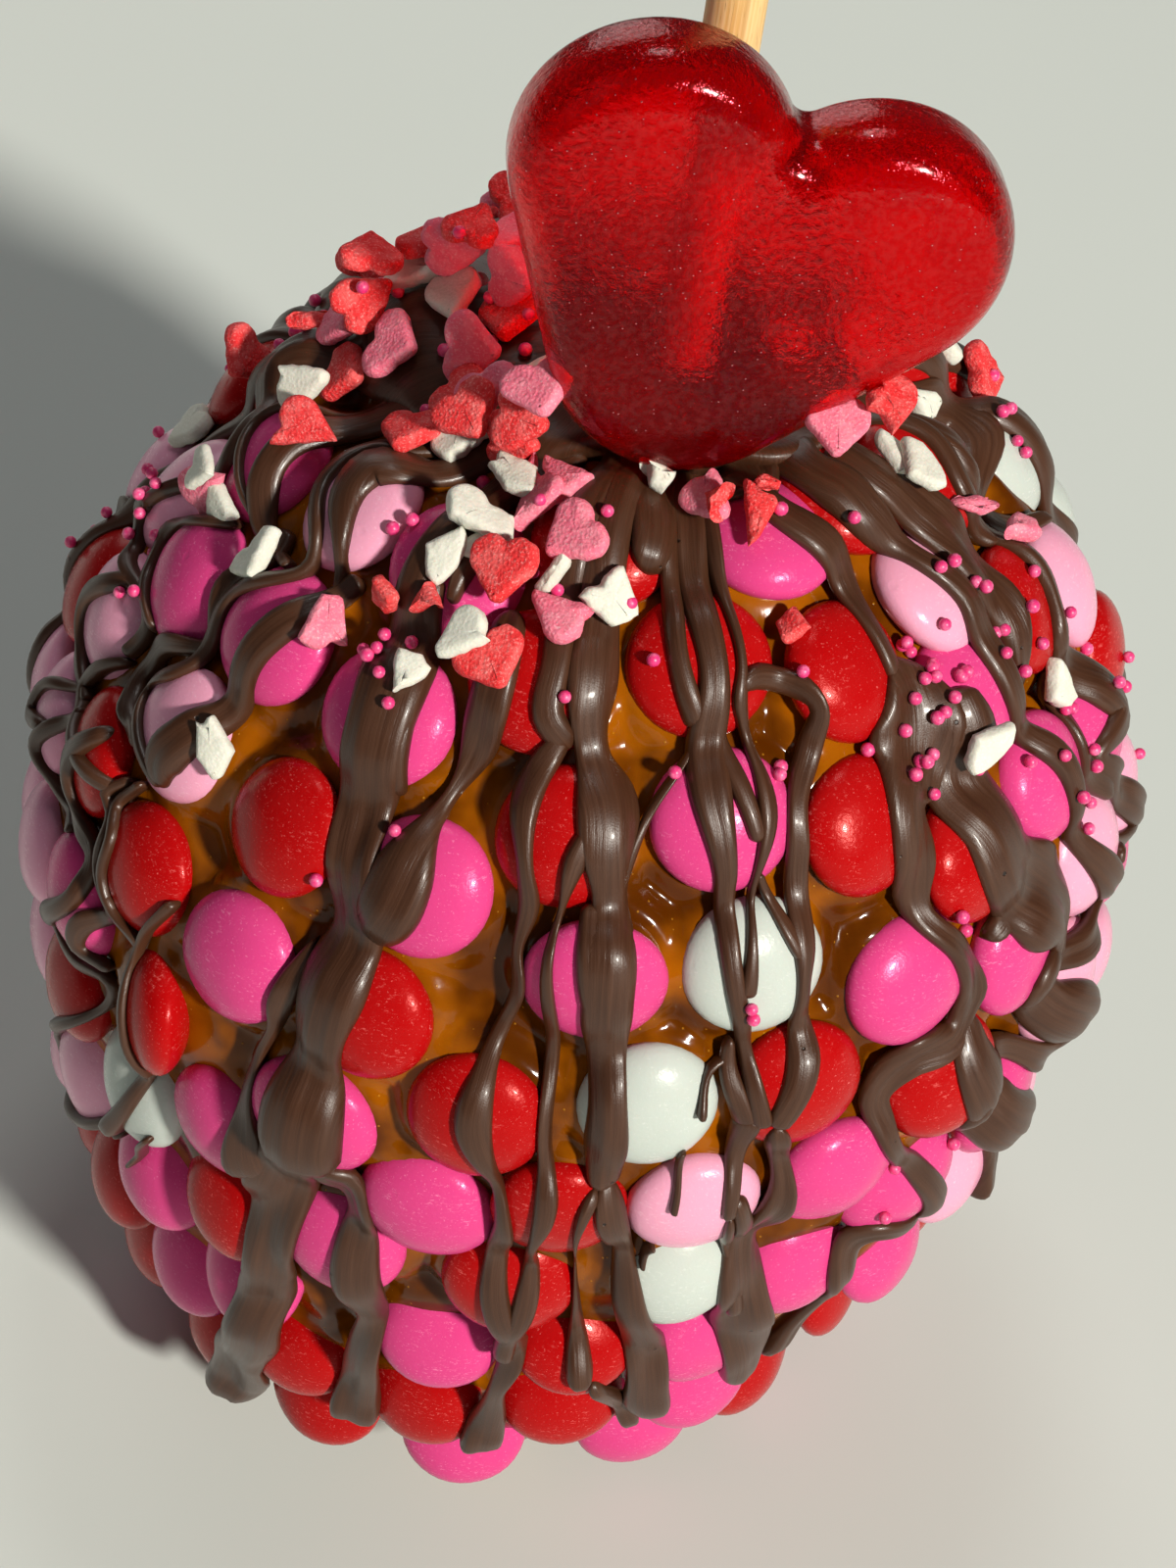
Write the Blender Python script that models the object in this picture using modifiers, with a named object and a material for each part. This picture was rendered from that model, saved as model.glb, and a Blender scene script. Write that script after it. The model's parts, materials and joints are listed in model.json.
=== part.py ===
"""A caramel apple on its stick.

A tall apple in a coat of caramel stands on a small flat foot. Sugar-shelled chocolate lentils are
pressed into the caramel all round it, melted chocolate has set in a cap over its top, and a jelly
heart stands in the cap, in front of the wooden stick.

Metres, +Z up. The origin is the centre of the foot, and the front faces -Y.
"""

import math

import bmesh
import bpy
from mathutils import Matrix, Vector

MM = 0.001
GAP = 0.3 * MM  # air between neighbouring pieces

# The apple in its caramel: round above the waist, tapered below it to the foot
WAIST_RADIUS = 54 * MM
WAIST_HEIGHT = 76 * MM
CROWN_HEIGHT = 58 * MM  # from the waist up to the top
FOOT_RADIUS = 22 * MM
CROWN_ROUNDNESS = 1.75  # 2 is an ellipse
TAPER_ROUNDNESS = 1.28
LEAN = 0.055  # how far the apple's axis drifts to +X for each unit of height
BODY_SIDES = 32
CROWN_RINGS = 8
TAPER_RINGS = 8
TOP = WAIST_HEIGHT + CROWN_HEIGHT

# The set chocolate over the top, out to the heap of sugar hearts that it holds
CAP_RADIUS = 27 * MM
CAP_THICKNESS = 3.2 * MM
CAP_SIDES = 24
CAP_RINGS = 5
CAP_WAVE = 0.07  # how far the rim strays from a circle, as a share of its radius
HEAP_RISE = 3.6 * MM
HEAP_WIDTH = 13 * MM
HEAP_PLACE = Vector((-12, 9)) * MM  # where the heap stands highest

# The wooden stick, pushed straight down into the apple beside its leaning axis
STICK_RADIUS = 2.7 * MM
STICK_LENGTH = 140 * MM
STICK_SHOWS = 71 * MM  # the length above the apple's top
STICK_ROUNDING = 0.6 * MM
STICK_SIDES = 16
STICK_X = LEAN * TOP

# The jelly heart: two lobes and a broad round tip, joined by straight flanks
LOBE_RADIUS = 12.9 * MM
LOBE_SPREAD = 10.6 * MM  # from the heart's middle to a lobe's centre
TIP_RADIUS = 13.0 * MM
TIP_DROP = 15.3 * MM  # from the lobes' centres down to the tip's centre
CLEFT_RADIUS = 1.8 * MM
HEART_THICKNESS = 9.5 * MM
HEART_ROUNDING = 3.6 * MM
HEART_PLACE = Vector((8.2, -14.0, 146.6)) * MM  # the centre of the tip's arc
HEART_YAW = math.radians(10)
HEART_LEAN_BACK = math.radians(5)
HEART_SPIN = math.radians(18)

# The candy lentils, lying in dimples in the caramel
CANDY_RADIUS = 6.75 * MM
CANDY_HALF_THICKNESS = 3.35 * MM
CANDY_RIM = 1.8  # 2 is an ellipse, less is a sharper rim
CANDY_RISE = 1.3 * MM  # how far a candy's centre stands above the caramel
LOW_LIFT = math.radians(38)  # how far the lowest candies are tipped to face upwards
LOW_LIFT_REACH = 30 * MM  # the drop below the waist over which that comes on
CANDY_SIDES = 10
CANDY_BANDS = 6
CANDY_SPACING = 0.8 * MM  # the least air between two candies
SETTLING_ROUNDS = 60

SHELLS = {
    "red": (0.55, 0.006, 0.010),
    "pink": (0.62, 0.035, 0.22),
    "pale_pink": (0.80, 0.36, 0.56),
    "white": (0.86, 0.85, 0.84),
}

# Where the candies lie: degrees round from the front towards +X, height in millimetres and
# shell, then for a candy that isn't pressed in flat, degrees turned to its right and upwards.
CANDIES = [
    # the crown
    (-6, 126, "red"),
    (26, 127, "pink", 0, 15),
    (79, 127, "red"),
    (-60, 122, "pale_pink", -10, 0),
    (-77, 119, "pink"),
    # the shoulder
    (14, 122, "red"),
    (37, 121, "red", 15, 0),
    (-9, 120, "red"),
    (57, 115, "pink"),
    (94, 111, "pale_pink"),
    (-30, 114, "pink"),
    (-52, 111, "pink"),
    (16, 113, "pink"),
    (33, 111, "red", 10, 0),
    (-2, 110, "red"),
    # above the waist
    (-35, 102, "red", -10, 0),
    (-52, 101, "pale_pink"),
    (65, 106, "pink"),
    (-15, 103, "pink"),
    (20, 103, "white"),
    (5, 99, "pink", 0, -20),
    (-49, 92, "red"),
    (-34, 90, "pink"),
    (-17, 91, "red"),
    (38, 95, "pink"),
    (27, 90, "red"),
    (12, 88, "white"),
    (-7, 85, "red"),
    # the waist and below
    (-43, 79, "red", -30, 0),
    (-20, 78, "pink"),
    (17, 76, "pale_pink"),
    (33, 76, "pink"),
    (-9, 71, "pink"),
    (20, 64, "white"),
    (-16, 60, "pink"),
    (2, 60, "red"),
    (34, 58, "pink"),
    (-42, 50, "pink"),
    (-4, 46, "pink"),
    (-22, 31, "red"),
    (3, 17, "pink", 0, 15),
    # the sides and the back
    (-90, 80, "pale_pink"),
    (92, 78, "pink"),
    (180, 78, "red"),
]


def body_radius(height):
    """The radius of the coated apple at a height."""
    if height >= WAIST_HEIGHT:
        share = min(1, (height - WAIST_HEIGHT) / CROWN_HEIGHT)
        return WAIST_RADIUS * math.sqrt(1 - share**CROWN_ROUNDNESS)
    share = min(1, (WAIST_HEIGHT - height) / WAIST_HEIGHT)
    return FOOT_RADIUS + (WAIST_RADIUS - FOOT_RADIUS) * math.sqrt(1 - share**TAPER_ROUNDNESS)


def crown_height(radius):
    """The height of the crown's surface at a radius from the axis."""
    share = (1 - (radius / WAIST_RADIUS) ** 2) ** (1 / CROWN_ROUNDNESS)
    return WAIST_HEIGHT + CROWN_HEIGHT * share


def leant(point):
    """A point of the upright apple, moved over as its axis leans."""
    return Vector((point.x + LEAN * point.z, point.y, point.z))


def on_caramel(longitude, height):
    """The point on the caramel at a longitude and height, and the outward normal there."""
    step = 0.05 * MM
    slope = (body_radius(height + step) - body_radius(height - step)) / (2 * step)
    outward = Vector((math.sin(longitude), -math.cos(longitude), 0))
    point = leant(outward * body_radius(height) + Vector((0, 0, height)))
    return point, (outward - Vector((0, 0, slope))).normalized()


def material(name, colour, roughness, transmission=0.0):
    made = bpy.data.materials.new(name)
    made.use_nodes = True
    shader = made.node_tree.nodes["Principled BSDF"]
    shader.inputs["Base Color"].default_value = (*colour, 1)
    shader.inputs["Roughness"].default_value = roughness
    shader.inputs["Metallic"].default_value = 0
    shader.inputs["Transmission Weight"].default_value = transmission
    return made


def add_object(name, mesh, collection, finish=None):
    made = bpy.data.objects.new(name, mesh)
    collection.objects.link(made)
    if finish:
        mesh.materials.clear()
        mesh.materials.append(finish)
        mesh.shade_smooth()
    return made


def add_cutter(name, mesh):
    made = add_object(name, mesh, cutters)
    made.hide_render = True
    made.display_type = "WIRE"
    return made


def turned(profile, sides):
    """The mesh swept by a profile of (radius, height) points, which runs down its outer side."""
    outline = bpy.data.meshes.new("profile")
    points = [(radius, 0, height) for radius, height in profile]
    outline.from_pydata(points, [(i, i + 1) for i in range(len(points) - 1)], [])
    spun = bpy.data.objects.new("profile", outline)
    bpy.context.scene.collection.objects.link(spun)
    screw = spun.modifiers.new("Turn", "SCREW")
    screw.steps = screw.render_steps = sides
    screw.use_merge_vertices = True
    screw.merge_threshold = 0.01 * MM
    bpy.context.view_layer.update()
    graph = bpy.context.evaluated_depsgraph_get()
    mesh = bpy.data.meshes.new_from_object(spun.evaluated_get(graph))
    bpy.data.objects.remove(spun)
    return mesh


def reshape(mesh, move):
    """Puts every point of a mesh where move says."""
    for vertex in mesh.vertices:
        vertex.co = move(vertex.co)


def cut(piece):
    """Takes the room of every cutter out of a piece."""
    boolean = piece.modifiers.new("Room for its neighbours", "BOOLEAN")
    boolean.operation = "DIFFERENCE"
    boolean.operand_type = "COLLECTION"
    boolean.collection = cutters
    boolean.solver = "EXACT"


# ---- the pieces ----


def candy_mesh(name, growth=0.0):
    """A lentil about Z: a sphere pressed to the candy's section, grown all over by growth."""
    mesh = bpy.data.meshes.new(name)
    shape = bmesh.new()
    bmesh.ops.create_uvsphere(shape, u_segments=CANDY_SIDES, v_segments=CANDY_BANDS, radius=1)
    for vertex in shape.verts:
        flat = math.hypot(vertex.co.x, vertex.co.y)
        fullness = (flat**CANDY_RIM + abs(vertex.co.z) ** CANDY_RIM) ** (-1 / CANDY_RIM)
        vertex.co.x *= fullness * (CANDY_RADIUS + growth)
        vertex.co.y *= fullness * (CANDY_RADIUS + growth)
        vertex.co.z *= fullness * (CANDY_HALF_THICKNESS + growth)
    shape.to_mesh(mesh)
    shape.free()
    return mesh


class Candy:
    """One candy's place on the caramel and the way it faces."""

    def __init__(self, longitude, height, shell, turn=0, lift=0):
        self.longitude = math.radians(longitude)
        self.height = height * MM
        self.shell = shell
        self.turn = math.radians(turn)
        self.lift = math.radians(lift)
        self.place()

    def place(self):
        surface, normal = on_caramel(self.longitude, self.height)
        across = Vector((0, 0, 1)).cross(normal).normalized()
        upward = normal.cross(across)
        lift = self.lift + LOW_LIFT * max(0, min(1, (WAIST_HEIGHT - self.height) / LOW_LIFT_REACH))
        facing = Matrix.Rotation(self.turn, 3, upward) @ Matrix.Rotation(-lift, 3, across)
        self.axis = (facing @ normal).normalized()
        self.centre = surface + normal * CANDY_RISE
        self.across, self.upward = across, upward

    def reach(self, direction):
        """How far the candy reaches from its centre in a direction."""
        along = direction.dot(self.axis) ** 2
        return math.sqrt(CANDY_RADIUS**2 * (1 - along) + CANDY_HALF_THICKNESS**2 * along)

    def shift(self, move):
        """Slides the candy over the caramel."""
        self.longitude += move.dot(self.across) / body_radius(self.height)
        self.height += move.dot(self.upward) * self.upward.z
        self.place()

    def matrix(self):
        return Matrix.Translation(self.centre) @ self.axis.to_track_quat("Z", "Y").to_matrix().to_4x4()


def settled(candies):
    """Slides candies that touch apart, a little at a time."""
    for _ in range(SETTLING_ROUNDS):
        for i, candy in enumerate(candies):
            for other in candies[:i]:
                between = candy.centre - other.centre
                direction = between.normalized()
                needed = candy.reach(direction) + other.reach(direction) + CANDY_SPACING
                if between.length < needed:
                    move = direction * (needed - between.length) / 2
                    candy.shift(move)
                    other.shift(-move)
    return candies


def build_candies():
    finishes = {
        shell: material("candy_" + shell, colour, 0.28) for shell, colour in SHELLS.items()
    }
    meshes = {shell: candy_mesh("candy_" + shell) for shell in SHELLS}
    room = candy_mesh("candy_room", GAP)
    for number, candy in enumerate(settled([Candy(*row) for row in CANDIES]), start=1):
        piece = add_object(f"candy_{number:02d}", meshes[candy.shell], parts, finishes[candy.shell])
        piece.matrix_world = candy.matrix()
        add_cutter(f"candy_room_{number:02d}", room).matrix_world = candy.matrix()


def build_apple():
    crown = [
        (body_radius(height), height)
        for height in (
            WAIST_HEIGHT + CROWN_HEIGHT * math.cos(math.pi / 2 * i / CROWN_RINGS)
            for i in range(CROWN_RINGS + 1)
        )
    ]
    taper = [
        (body_radius(height), height)
        for height in (
            WAIST_HEIGHT * (1 - math.sin(math.pi / 2 * i / TAPER_RINGS))
            for i in range(1, TAPER_RINGS + 1)
        )
    ]
    mesh = turned([*crown, *taper, (0, 0)], BODY_SIDES)
    reshape(mesh, leant)
    cut(add_object("apple", mesh, parts, material("caramel", (0.36, 0.115, 0.012), 0.2)))


def heaped(point):
    """A point of the round, even cap, moved out to its wavy rim and up to its uneven top."""
    outward = Vector((point.x, point.y))
    longitude = math.atan2(point.x, -point.y)
    share = outward.length / CAP_RADIUS
    wave = 1 + CAP_WAVE * share * (math.sin(3 * longitude) - math.sin(longitude))
    depth = point.z - crown_height(outward.length)
    outward *= wave
    rise = HEAP_RISE * math.exp(-(((outward - HEAP_PLACE).length / HEAP_WIDTH) ** 2))
    height = crown_height(outward.length) + depth + (rise if depth > CAP_THICKNESS / 2 else 0)
    return Vector((*outward, height))


def build_cap():
    """The chocolate follows the crown from the stick's hole out to a rounded, wavy rim."""
    inner = 1.5 * STICK_RADIUS
    radii = [inner + (CAP_RADIUS - inner) * i / CAP_RINGS for i in range(CAP_RINGS + 1)]
    above = [(radius, crown_height(radius) + CAP_THICKNESS + GAP) for radius in radii]
    rim = (CAP_RADIUS + CAP_THICKNESS / 2, crown_height(CAP_RADIUS) + CAP_THICKNESS / 2)
    below = [(radius, crown_height(radius) + GAP) for radius in reversed(radii)]
    mesh = turned([*above, rim, *below, above[0]], CAP_SIDES)
    reshape(mesh, heaped)
    reshape(mesh, leant)
    cut(add_object("chocolate_cap", mesh, parts, material("chocolate", (0.045, 0.023, 0.016), 0.35)))


def build_stick():
    mesh = bpy.data.meshes.new("stick")
    shape = bmesh.new()
    bmesh.ops.create_cone(
        shape,
        cap_ends=True,
        segments=STICK_SIDES,
        radius1=STICK_RADIUS,
        radius2=STICK_RADIUS,
        depth=STICK_LENGTH,
    )
    shape.to_mesh(mesh)
    shape.free()
    stick = add_object("stick", mesh, parts, material("wood", (0.68, 0.42, 0.17), 0.5))
    stick.location = (STICK_X, 0, TOP + STICK_SHOWS - STICK_LENGTH / 2)
    rounding = stick.modifiers.new("Rounded ends", "BEVEL")
    rounding.width = STICK_ROUNDING
    rounding.segments = 1
    stick.data.set_sharp_from_angle(angle=math.radians(40))
    hole = bpy.data.meshes.new("stick_room")
    shape = bmesh.new()
    bmesh.ops.create_cone(
        shape,
        cap_ends=True,
        segments=STICK_SIDES,
        radius1=STICK_RADIUS + GAP,
        radius2=STICK_RADIUS + GAP,
        depth=STICK_LENGTH + 2 * GAP,
    )
    shape.to_mesh(hole)
    shape.free()
    add_cutter("stick_room", hole).location = stick.location


def arc(centre, radius, start, end, steps):
    """Points round an arc from one angle to another, both included."""
    angles = (start + (end - start) * i / steps for i in range(steps + 1))
    return [(centre[0] + radius * math.cos(a), centre[1] + radius * math.sin(a)) for a in angles]


def heart_outline(growth=0.0):
    """The heart's closed outline about the tip's centre, grown outwards by growth."""
    lobe, tip, cleft = LOBE_RADIUS + growth, TIP_RADIUS + growth, CLEFT_RADIUS - growth
    # The flank is the tangent shared by the tip's arc and the lobe's.
    flank = math.atan2(TIP_DROP, LOBE_SPREAD) - math.acos(
        (TIP_RADIUS - LOBE_RADIUS) / math.hypot(LOBE_SPREAD, TIP_DROP)
    )
    # The cleft's arc touches both lobes from above.
    turn = math.acos(LOBE_SPREAD / (LOBE_RADIUS + CLEFT_RADIUS))
    cleft_centre = (0, TIP_DROP + LOBE_SPREAD * math.tan(turn))
    right = [
        *arc((0, 0), tip, -math.pi / 2, flank, 4),
        *arc((LOBE_SPREAD, TIP_DROP), lobe, flank, math.pi - turn, 9),
        *arc(cleft_centre, cleft, -turn, -math.pi / 2, 2)[1:],
    ]
    left = [(-x, y) for x, y in reversed(right[1:-1])]
    return right + left


def heart_mesh(name, growth=0.0):
    """The heart in the XZ plane, its outline extruded with a rounded edge on both faces."""
    rounding = HEART_ROUNDING + growth
    curve = bpy.data.curves.new(name, "CURVE")
    curve.dimensions = "2D"
    curve.fill_mode = "BOTH"
    curve.extrude = HEART_THICKNESS / 2 + growth - rounding
    curve.bevel_depth = rounding
    curve.bevel_resolution = 1
    spline = curve.splines.new("POLY")
    outline = heart_outline(growth - rounding)
    spline.points.add(len(outline) - 1)
    for point, (x, y) in zip(spline.points, outline):
        point.co = (x, y, 0, 1)
    spline.use_cyclic_u = True
    drawn = bpy.data.objects.new(name, curve)
    bpy.context.scene.collection.objects.link(drawn)
    bpy.context.view_layer.update()
    graph = bpy.context.evaluated_depsgraph_get()
    mesh = bpy.data.meshes.new_from_object(drawn.evaluated_get(graph))
    bpy.data.objects.remove(drawn)
    shape = bmesh.new()
    shape.from_mesh(mesh)
    bmesh.ops.remove_doubles(shape, verts=shape.verts, dist=0.01 * MM)
    bmesh.ops.recalc_face_normals(shape, faces=shape.faces)
    shape.to_mesh(mesh)
    shape.free()
    mesh.transform(Matrix.Rotation(math.pi / 2, 4, "X"))
    return mesh


def build_heart():
    place = (
        Matrix.Translation(HEART_PLACE)
        @ Matrix.Rotation(HEART_YAW, 4, "Z")
        @ Matrix.Rotation(-HEART_LEAN_BACK, 4, "X")
        @ Matrix.Rotation(HEART_SPIN, 4, "Y")
    )
    finish = material("jelly", (0.62, 0.0, 0.02), 0.15, transmission=0.7)
    heart = add_object("jelly_heart", heart_mesh("jelly_heart"), parts, finish)
    heart.matrix_world = place
    add_cutter("heart_room", heart_mesh("heart_room", GAP)).matrix_world = place


for leftover in list(bpy.data.objects):
    bpy.data.objects.remove(leftover)
parts = bpy.data.collections.new("caramel_apple")
cutters = bpy.data.collections.new("cutters")
bpy.context.scene.collection.children.link(parts)
bpy.context.scene.collection.children.link(cutters)

build_stick()
build_heart()
build_candies()
build_apple()
build_cap()
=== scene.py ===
"""A caramel apple on its stick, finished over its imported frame.

Candy lentils sit in dimples in the caramel, melted chocolate has run down over them from a cap
round the stick, sugar hearts and pearls have stuck to the chocolate, and a jelly heart stands in it.
A place on the apple is its longitude, round from the front towards +X, and how far down over the
caramel it lies from the top. The lists give these in degrees and millimetres, and the functions
take radians and metres.
"""

import itertools
import json
import math

import bmesh
import bpy
import numpy as np
from mathutils import Matrix, Vector
from mathutils.bvhtree import BVHTree


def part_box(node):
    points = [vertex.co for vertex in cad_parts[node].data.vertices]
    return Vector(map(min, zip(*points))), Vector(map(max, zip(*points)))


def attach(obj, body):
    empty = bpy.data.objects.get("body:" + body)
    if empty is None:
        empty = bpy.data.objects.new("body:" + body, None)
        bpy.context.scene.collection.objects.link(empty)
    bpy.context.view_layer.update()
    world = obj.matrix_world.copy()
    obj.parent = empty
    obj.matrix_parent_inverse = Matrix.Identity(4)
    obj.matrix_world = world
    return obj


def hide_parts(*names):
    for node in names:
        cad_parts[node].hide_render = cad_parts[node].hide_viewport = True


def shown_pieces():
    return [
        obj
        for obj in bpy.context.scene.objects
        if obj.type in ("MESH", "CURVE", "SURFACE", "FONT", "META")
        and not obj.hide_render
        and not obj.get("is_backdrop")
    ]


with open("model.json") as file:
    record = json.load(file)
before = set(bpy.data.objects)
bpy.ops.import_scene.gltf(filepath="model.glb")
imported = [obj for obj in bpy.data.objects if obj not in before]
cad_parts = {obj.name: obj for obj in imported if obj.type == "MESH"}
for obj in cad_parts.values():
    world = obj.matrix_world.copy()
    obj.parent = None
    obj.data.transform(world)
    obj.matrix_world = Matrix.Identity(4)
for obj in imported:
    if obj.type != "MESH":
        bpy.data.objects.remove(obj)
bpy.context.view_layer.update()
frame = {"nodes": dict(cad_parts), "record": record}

MM = 0.001
FULL_TURN = 2 * math.pi

# The apple in its caramel, as in the frame
WAIST_RADIUS = 54 * MM
WAIST_HEIGHT = 76 * MM
CROWN_HEIGHT = 58 * MM
FOOT_RADIUS = 22 * MM
CROWN_ROUNDNESS = 1.75
TAPER_ROUNDNESS = 1.28
LEAN = 0.055

# The candy lentils
CANDY_RADIUS = 6.75 * MM
CANDY_HALF_THICKNESS = 3.35 * MM
CANDY_RISE = 1.3 * MM
CANDY_ROOM = 13.9 * MM  # from centre to centre of two that touch
CANDY_RIM = 1.88  # 2 is an ellipse, less is a sharper rim
LOW_LIFT = math.radians(38)  # how far the lowest candies are tipped to face upwards
LOW_LIFT_REACH = 32 * MM  # the way down from the waist over which that comes on


# ---- places on the apple ----


def unit(ways):
    return ways / np.linalg.norm(ways, axis=1, keepdims=True)


def length_along(points):
    """The distance from the first point to each, by way of those between."""
    return np.concatenate([[0], np.cumsum(np.linalg.norm(np.diff(points, axis=0), axis=1))])


def round_turn(steps):
    """Even steps of angle once round."""
    return np.arange(steps) * FULL_TURN / steps


def caramel_profile():
    """Down the caramel from the top to the foot: radius, height, distance down, and the way out."""
    turn = np.linspace(0, math.pi / 2, 600)
    crown_share, taper_share = np.cos(turn), np.sin(turn)[1:]
    radius = np.concatenate([
        WAIST_RADIUS * np.sqrt(1 - crown_share**CROWN_ROUNDNESS),
        FOOT_RADIUS + (WAIST_RADIUS - FOOT_RADIUS) * np.sqrt(1 - taper_share**TAPER_ROUNDNESS),
    ])
    height = np.concatenate([
        WAIST_HEIGHT + CROWN_HEIGHT * crown_share,
        WAIST_HEIGHT * (1 - taper_share),
    ])
    along_radius, along_height = np.gradient(radius), np.gradient(height)
    length = np.hypot(along_radius, along_height)
    down = np.concatenate([[0], np.cumsum(np.hypot(np.diff(radius), np.diff(height)))])
    return radius, height, down, -along_height / length, along_radius / length


RADIUS, HEIGHT, DOWN, OUTWARD, UPWARD = caramel_profile()
DOWN_END = DOWN[-1]
WAIST_DOWN = DOWN[np.argmax(RADIUS)]


def way_out(longitude, down):
    """The outward direction at places on the caramel."""
    out, up = np.interp(down, DOWN, OUTWARD), np.interp(down, DOWN, UPWARD)
    return np.stack([np.sin(longitude) * out, -np.cos(longitude) * out, up + 0 * longitude], -1)


def way_across(longitude):
    """The level direction towards greater longitude."""
    return np.stack([np.cos(longitude), np.sin(longitude), 0 * longitude], -1)


def on_caramel(longitude, down, rise=0.0):
    """Points at a height above places on the caramel."""
    radius, height = np.interp(down, DOWN, RADIUS), np.interp(down, DOWN, HEIGHT)
    out, up = np.interp(down, DOWN, OUTWARD), np.interp(down, DOWN, UPWARD)
    reach = radius + rise * out
    x = reach * np.sin(longitude) + LEAN * height
    return np.stack([x, -reach * np.cos(longitude), height + rise * up], -1)


def radius_at(down):
    return np.maximum(np.interp(down, DOWN, RADIUS), 1 * MM)


def place_of(point):
    """The longitude of a point and how far down it lies."""
    x, y, z = point
    longitude = math.atan2(x - LEAN * z, -y)
    radius = math.hypot(x - LEAN * z, y)
    return longitude, DOWN[np.argmin((RADIUS - radius) ** 2 + (HEIGHT - z) ** 2)]


def unevenness(points, wavelength, seed, waves=14):
    """Smooth seeded lumps of about -1 to 1, from waves that run in many directions."""
    random = np.random.default_rng(seed)
    ways = unit(random.normal(size=(waves, 3))) * FULL_TURN / wavelength
    shifts = random.uniform(0, FULL_TURN, waves)
    return np.sin(points @ ways.T + shifts).sum(-1) / math.sqrt(waves)


class Relief:
    """A height over the caramel, kept on a grid of rows down the apple and columns round it."""

    ROWS = 347
    COLUMNS = 720

    def __init__(self, values):
        self.values = values

    @classmethod
    def places(cls):
        return np.meshgrid(round_turn(cls.COLUMNS), np.linspace(0, DOWN_END, cls.ROWS))

    def at(self, longitude, down):
        """The height at any places, between the grid's own."""
        column = longitude / FULL_TURN % 1 * self.COLUMNS
        row = np.clip(down / DOWN_END, 0, 1) * (self.ROWS - 1)
        left, above = np.floor(column).astype(int), np.minimum(np.floor(row).astype(int), self.ROWS - 2)
        right_share, below_share = column - left, row - above
        left, right = left % self.COLUMNS, (left + 1) % self.COLUMNS
        upper = self.values[above, left] * (1 - right_share) + self.values[above, right] * right_share
        lower = self.values[above + 1, left] * (1 - right_share) + self.values[above + 1, right] * right_share
        return upper * (1 - below_share) + lower * below_share

    def softened(self, width):
        """The relief with everything finer than a width smoothed away."""
        down = np.linspace(0, DOWN_END, self.ROWS)
        waves = np.arange(self.COLUMNS // 2 + 1)[None] * (width / radius_at(down))[:, None]
        round_it = np.fft.irfft(np.fft.rfft(self.values, axis=1) * np.exp(-(waves**2) / 2), self.COLUMNS, 1)
        weights = np.exp(-(((down[:, None] - down[None]) / width) ** 2) / 2)
        return Relief(weights / weights.sum(1, keepdims=True) @ round_it)


# ---- meshes ----


def ring_faces(rings, around):
    """Quads between rings of points, each ring closed on itself."""
    ring = np.arange(rings - 1)[:, None] * around
    here = np.arange(around)[None]
    beside = (here + 1) % around
    corners = [ring + here, ring + beside, ring + around + beside, ring + around + here]
    return np.stack(corners, -1).reshape(-1, 4).tolist()


def closed_tube(rings):
    """The points and faces of a body through rings of points, each end drawn in to one point."""
    count, around, _ = rings.shape
    points = np.concatenate([rings.reshape(-1, 3), rings[0].mean(0)[None], rings[-1].mean(0)[None]])
    start, end, last = count * around, count * around + 1, (count - 1) * around
    faces = ring_faces(count, around)
    faces += [(start, (i + 1) % around, i) for i in range(around)]
    faces += [(end, last + i, last + (i + 1) % around) for i in range(around)]
    return points, faces


def put(name, data):
    """A new object in the scene."""
    thing = bpy.data.objects.new(name, data)
    bpy.context.scene.collection.objects.link(thing)
    return thing


class Batch:
    """Many small meshes gathered into one, with what is noted about each point."""

    def __init__(self):
        self.points, self.faces, self.notes, self.size = [], [], {}, 0

    def add(self, points, faces, **notes):
        self.points.append(points)
        self.faces += [[corner + self.size for corner in face] for face in faces]
        for name, values in notes.items():
            self.notes.setdefault(name, []).append(np.broadcast_to(values, len(points)))
        self.size += len(points)


def add_piece(name, finish, slot, points, faces, replaced=(), notes=None):
    """A finished piece of the apple, smooth, with its faces turned outwards."""
    mesh = bpy.data.meshes.new(name)
    mesh.from_pydata(points, [], faces)
    for note, values in (notes or {}).items():
        mesh.attributes.new(note, "FLOAT", "POINT").data.foreach_set("value", np.float32(values))
    shape = bmesh.new()
    shape.from_mesh(mesh)
    if shape.calc_volume(signed=True) < 0:
        bmesh.ops.reverse_faces(shape, faces=shape.faces)
        shape.to_mesh(mesh)
    shape.free()
    mesh.shade_smooth()
    mesh.materials.append(finish)
    piece = put(name, mesh)
    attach(piece, "root")
    if replaced:
        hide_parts(*replaced)
    return piece


def add_batch(name, finish, slot, batch, replaced=()):
    notes = {note: np.concatenate(values) for note, values in batch.notes.items()}
    return add_piece(name, finish, slot, np.concatenate(batch.points), batch.faces, replaced, notes)


# ---- finishes ----


class Value:
    """A number that varies over a surface. Arithmetic on it adds Math nodes."""

    def __init__(self, finish, socket):
        self.finish, self.socket = finish, socket

    def maths(self, operation, *terms):
        return self.finish.add("Math", {"operation": operation}, dict(enumerate(terms)))

    def __add__(self, other):
        return self.maths("ADD", self, other)

    def __sub__(self, other):
        return self.maths("SUBTRACT", self, other)

    def __rsub__(self, other):
        return self.maths("SUBTRACT", other, self)

    def __mul__(self, other):
        return self.maths("MULTIPLY", self, other)

    __radd__, __rmul__ = __add__, __mul__

    def between(self, low, high):
        """0 below low, 1 above high, and a smooth change between them."""
        settings = {"interpolation_type": "SMOOTHSTEP"}
        return self.finish.add("MapRange", settings, {"Value": self, "From Min": low, "From Max": high})


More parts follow.
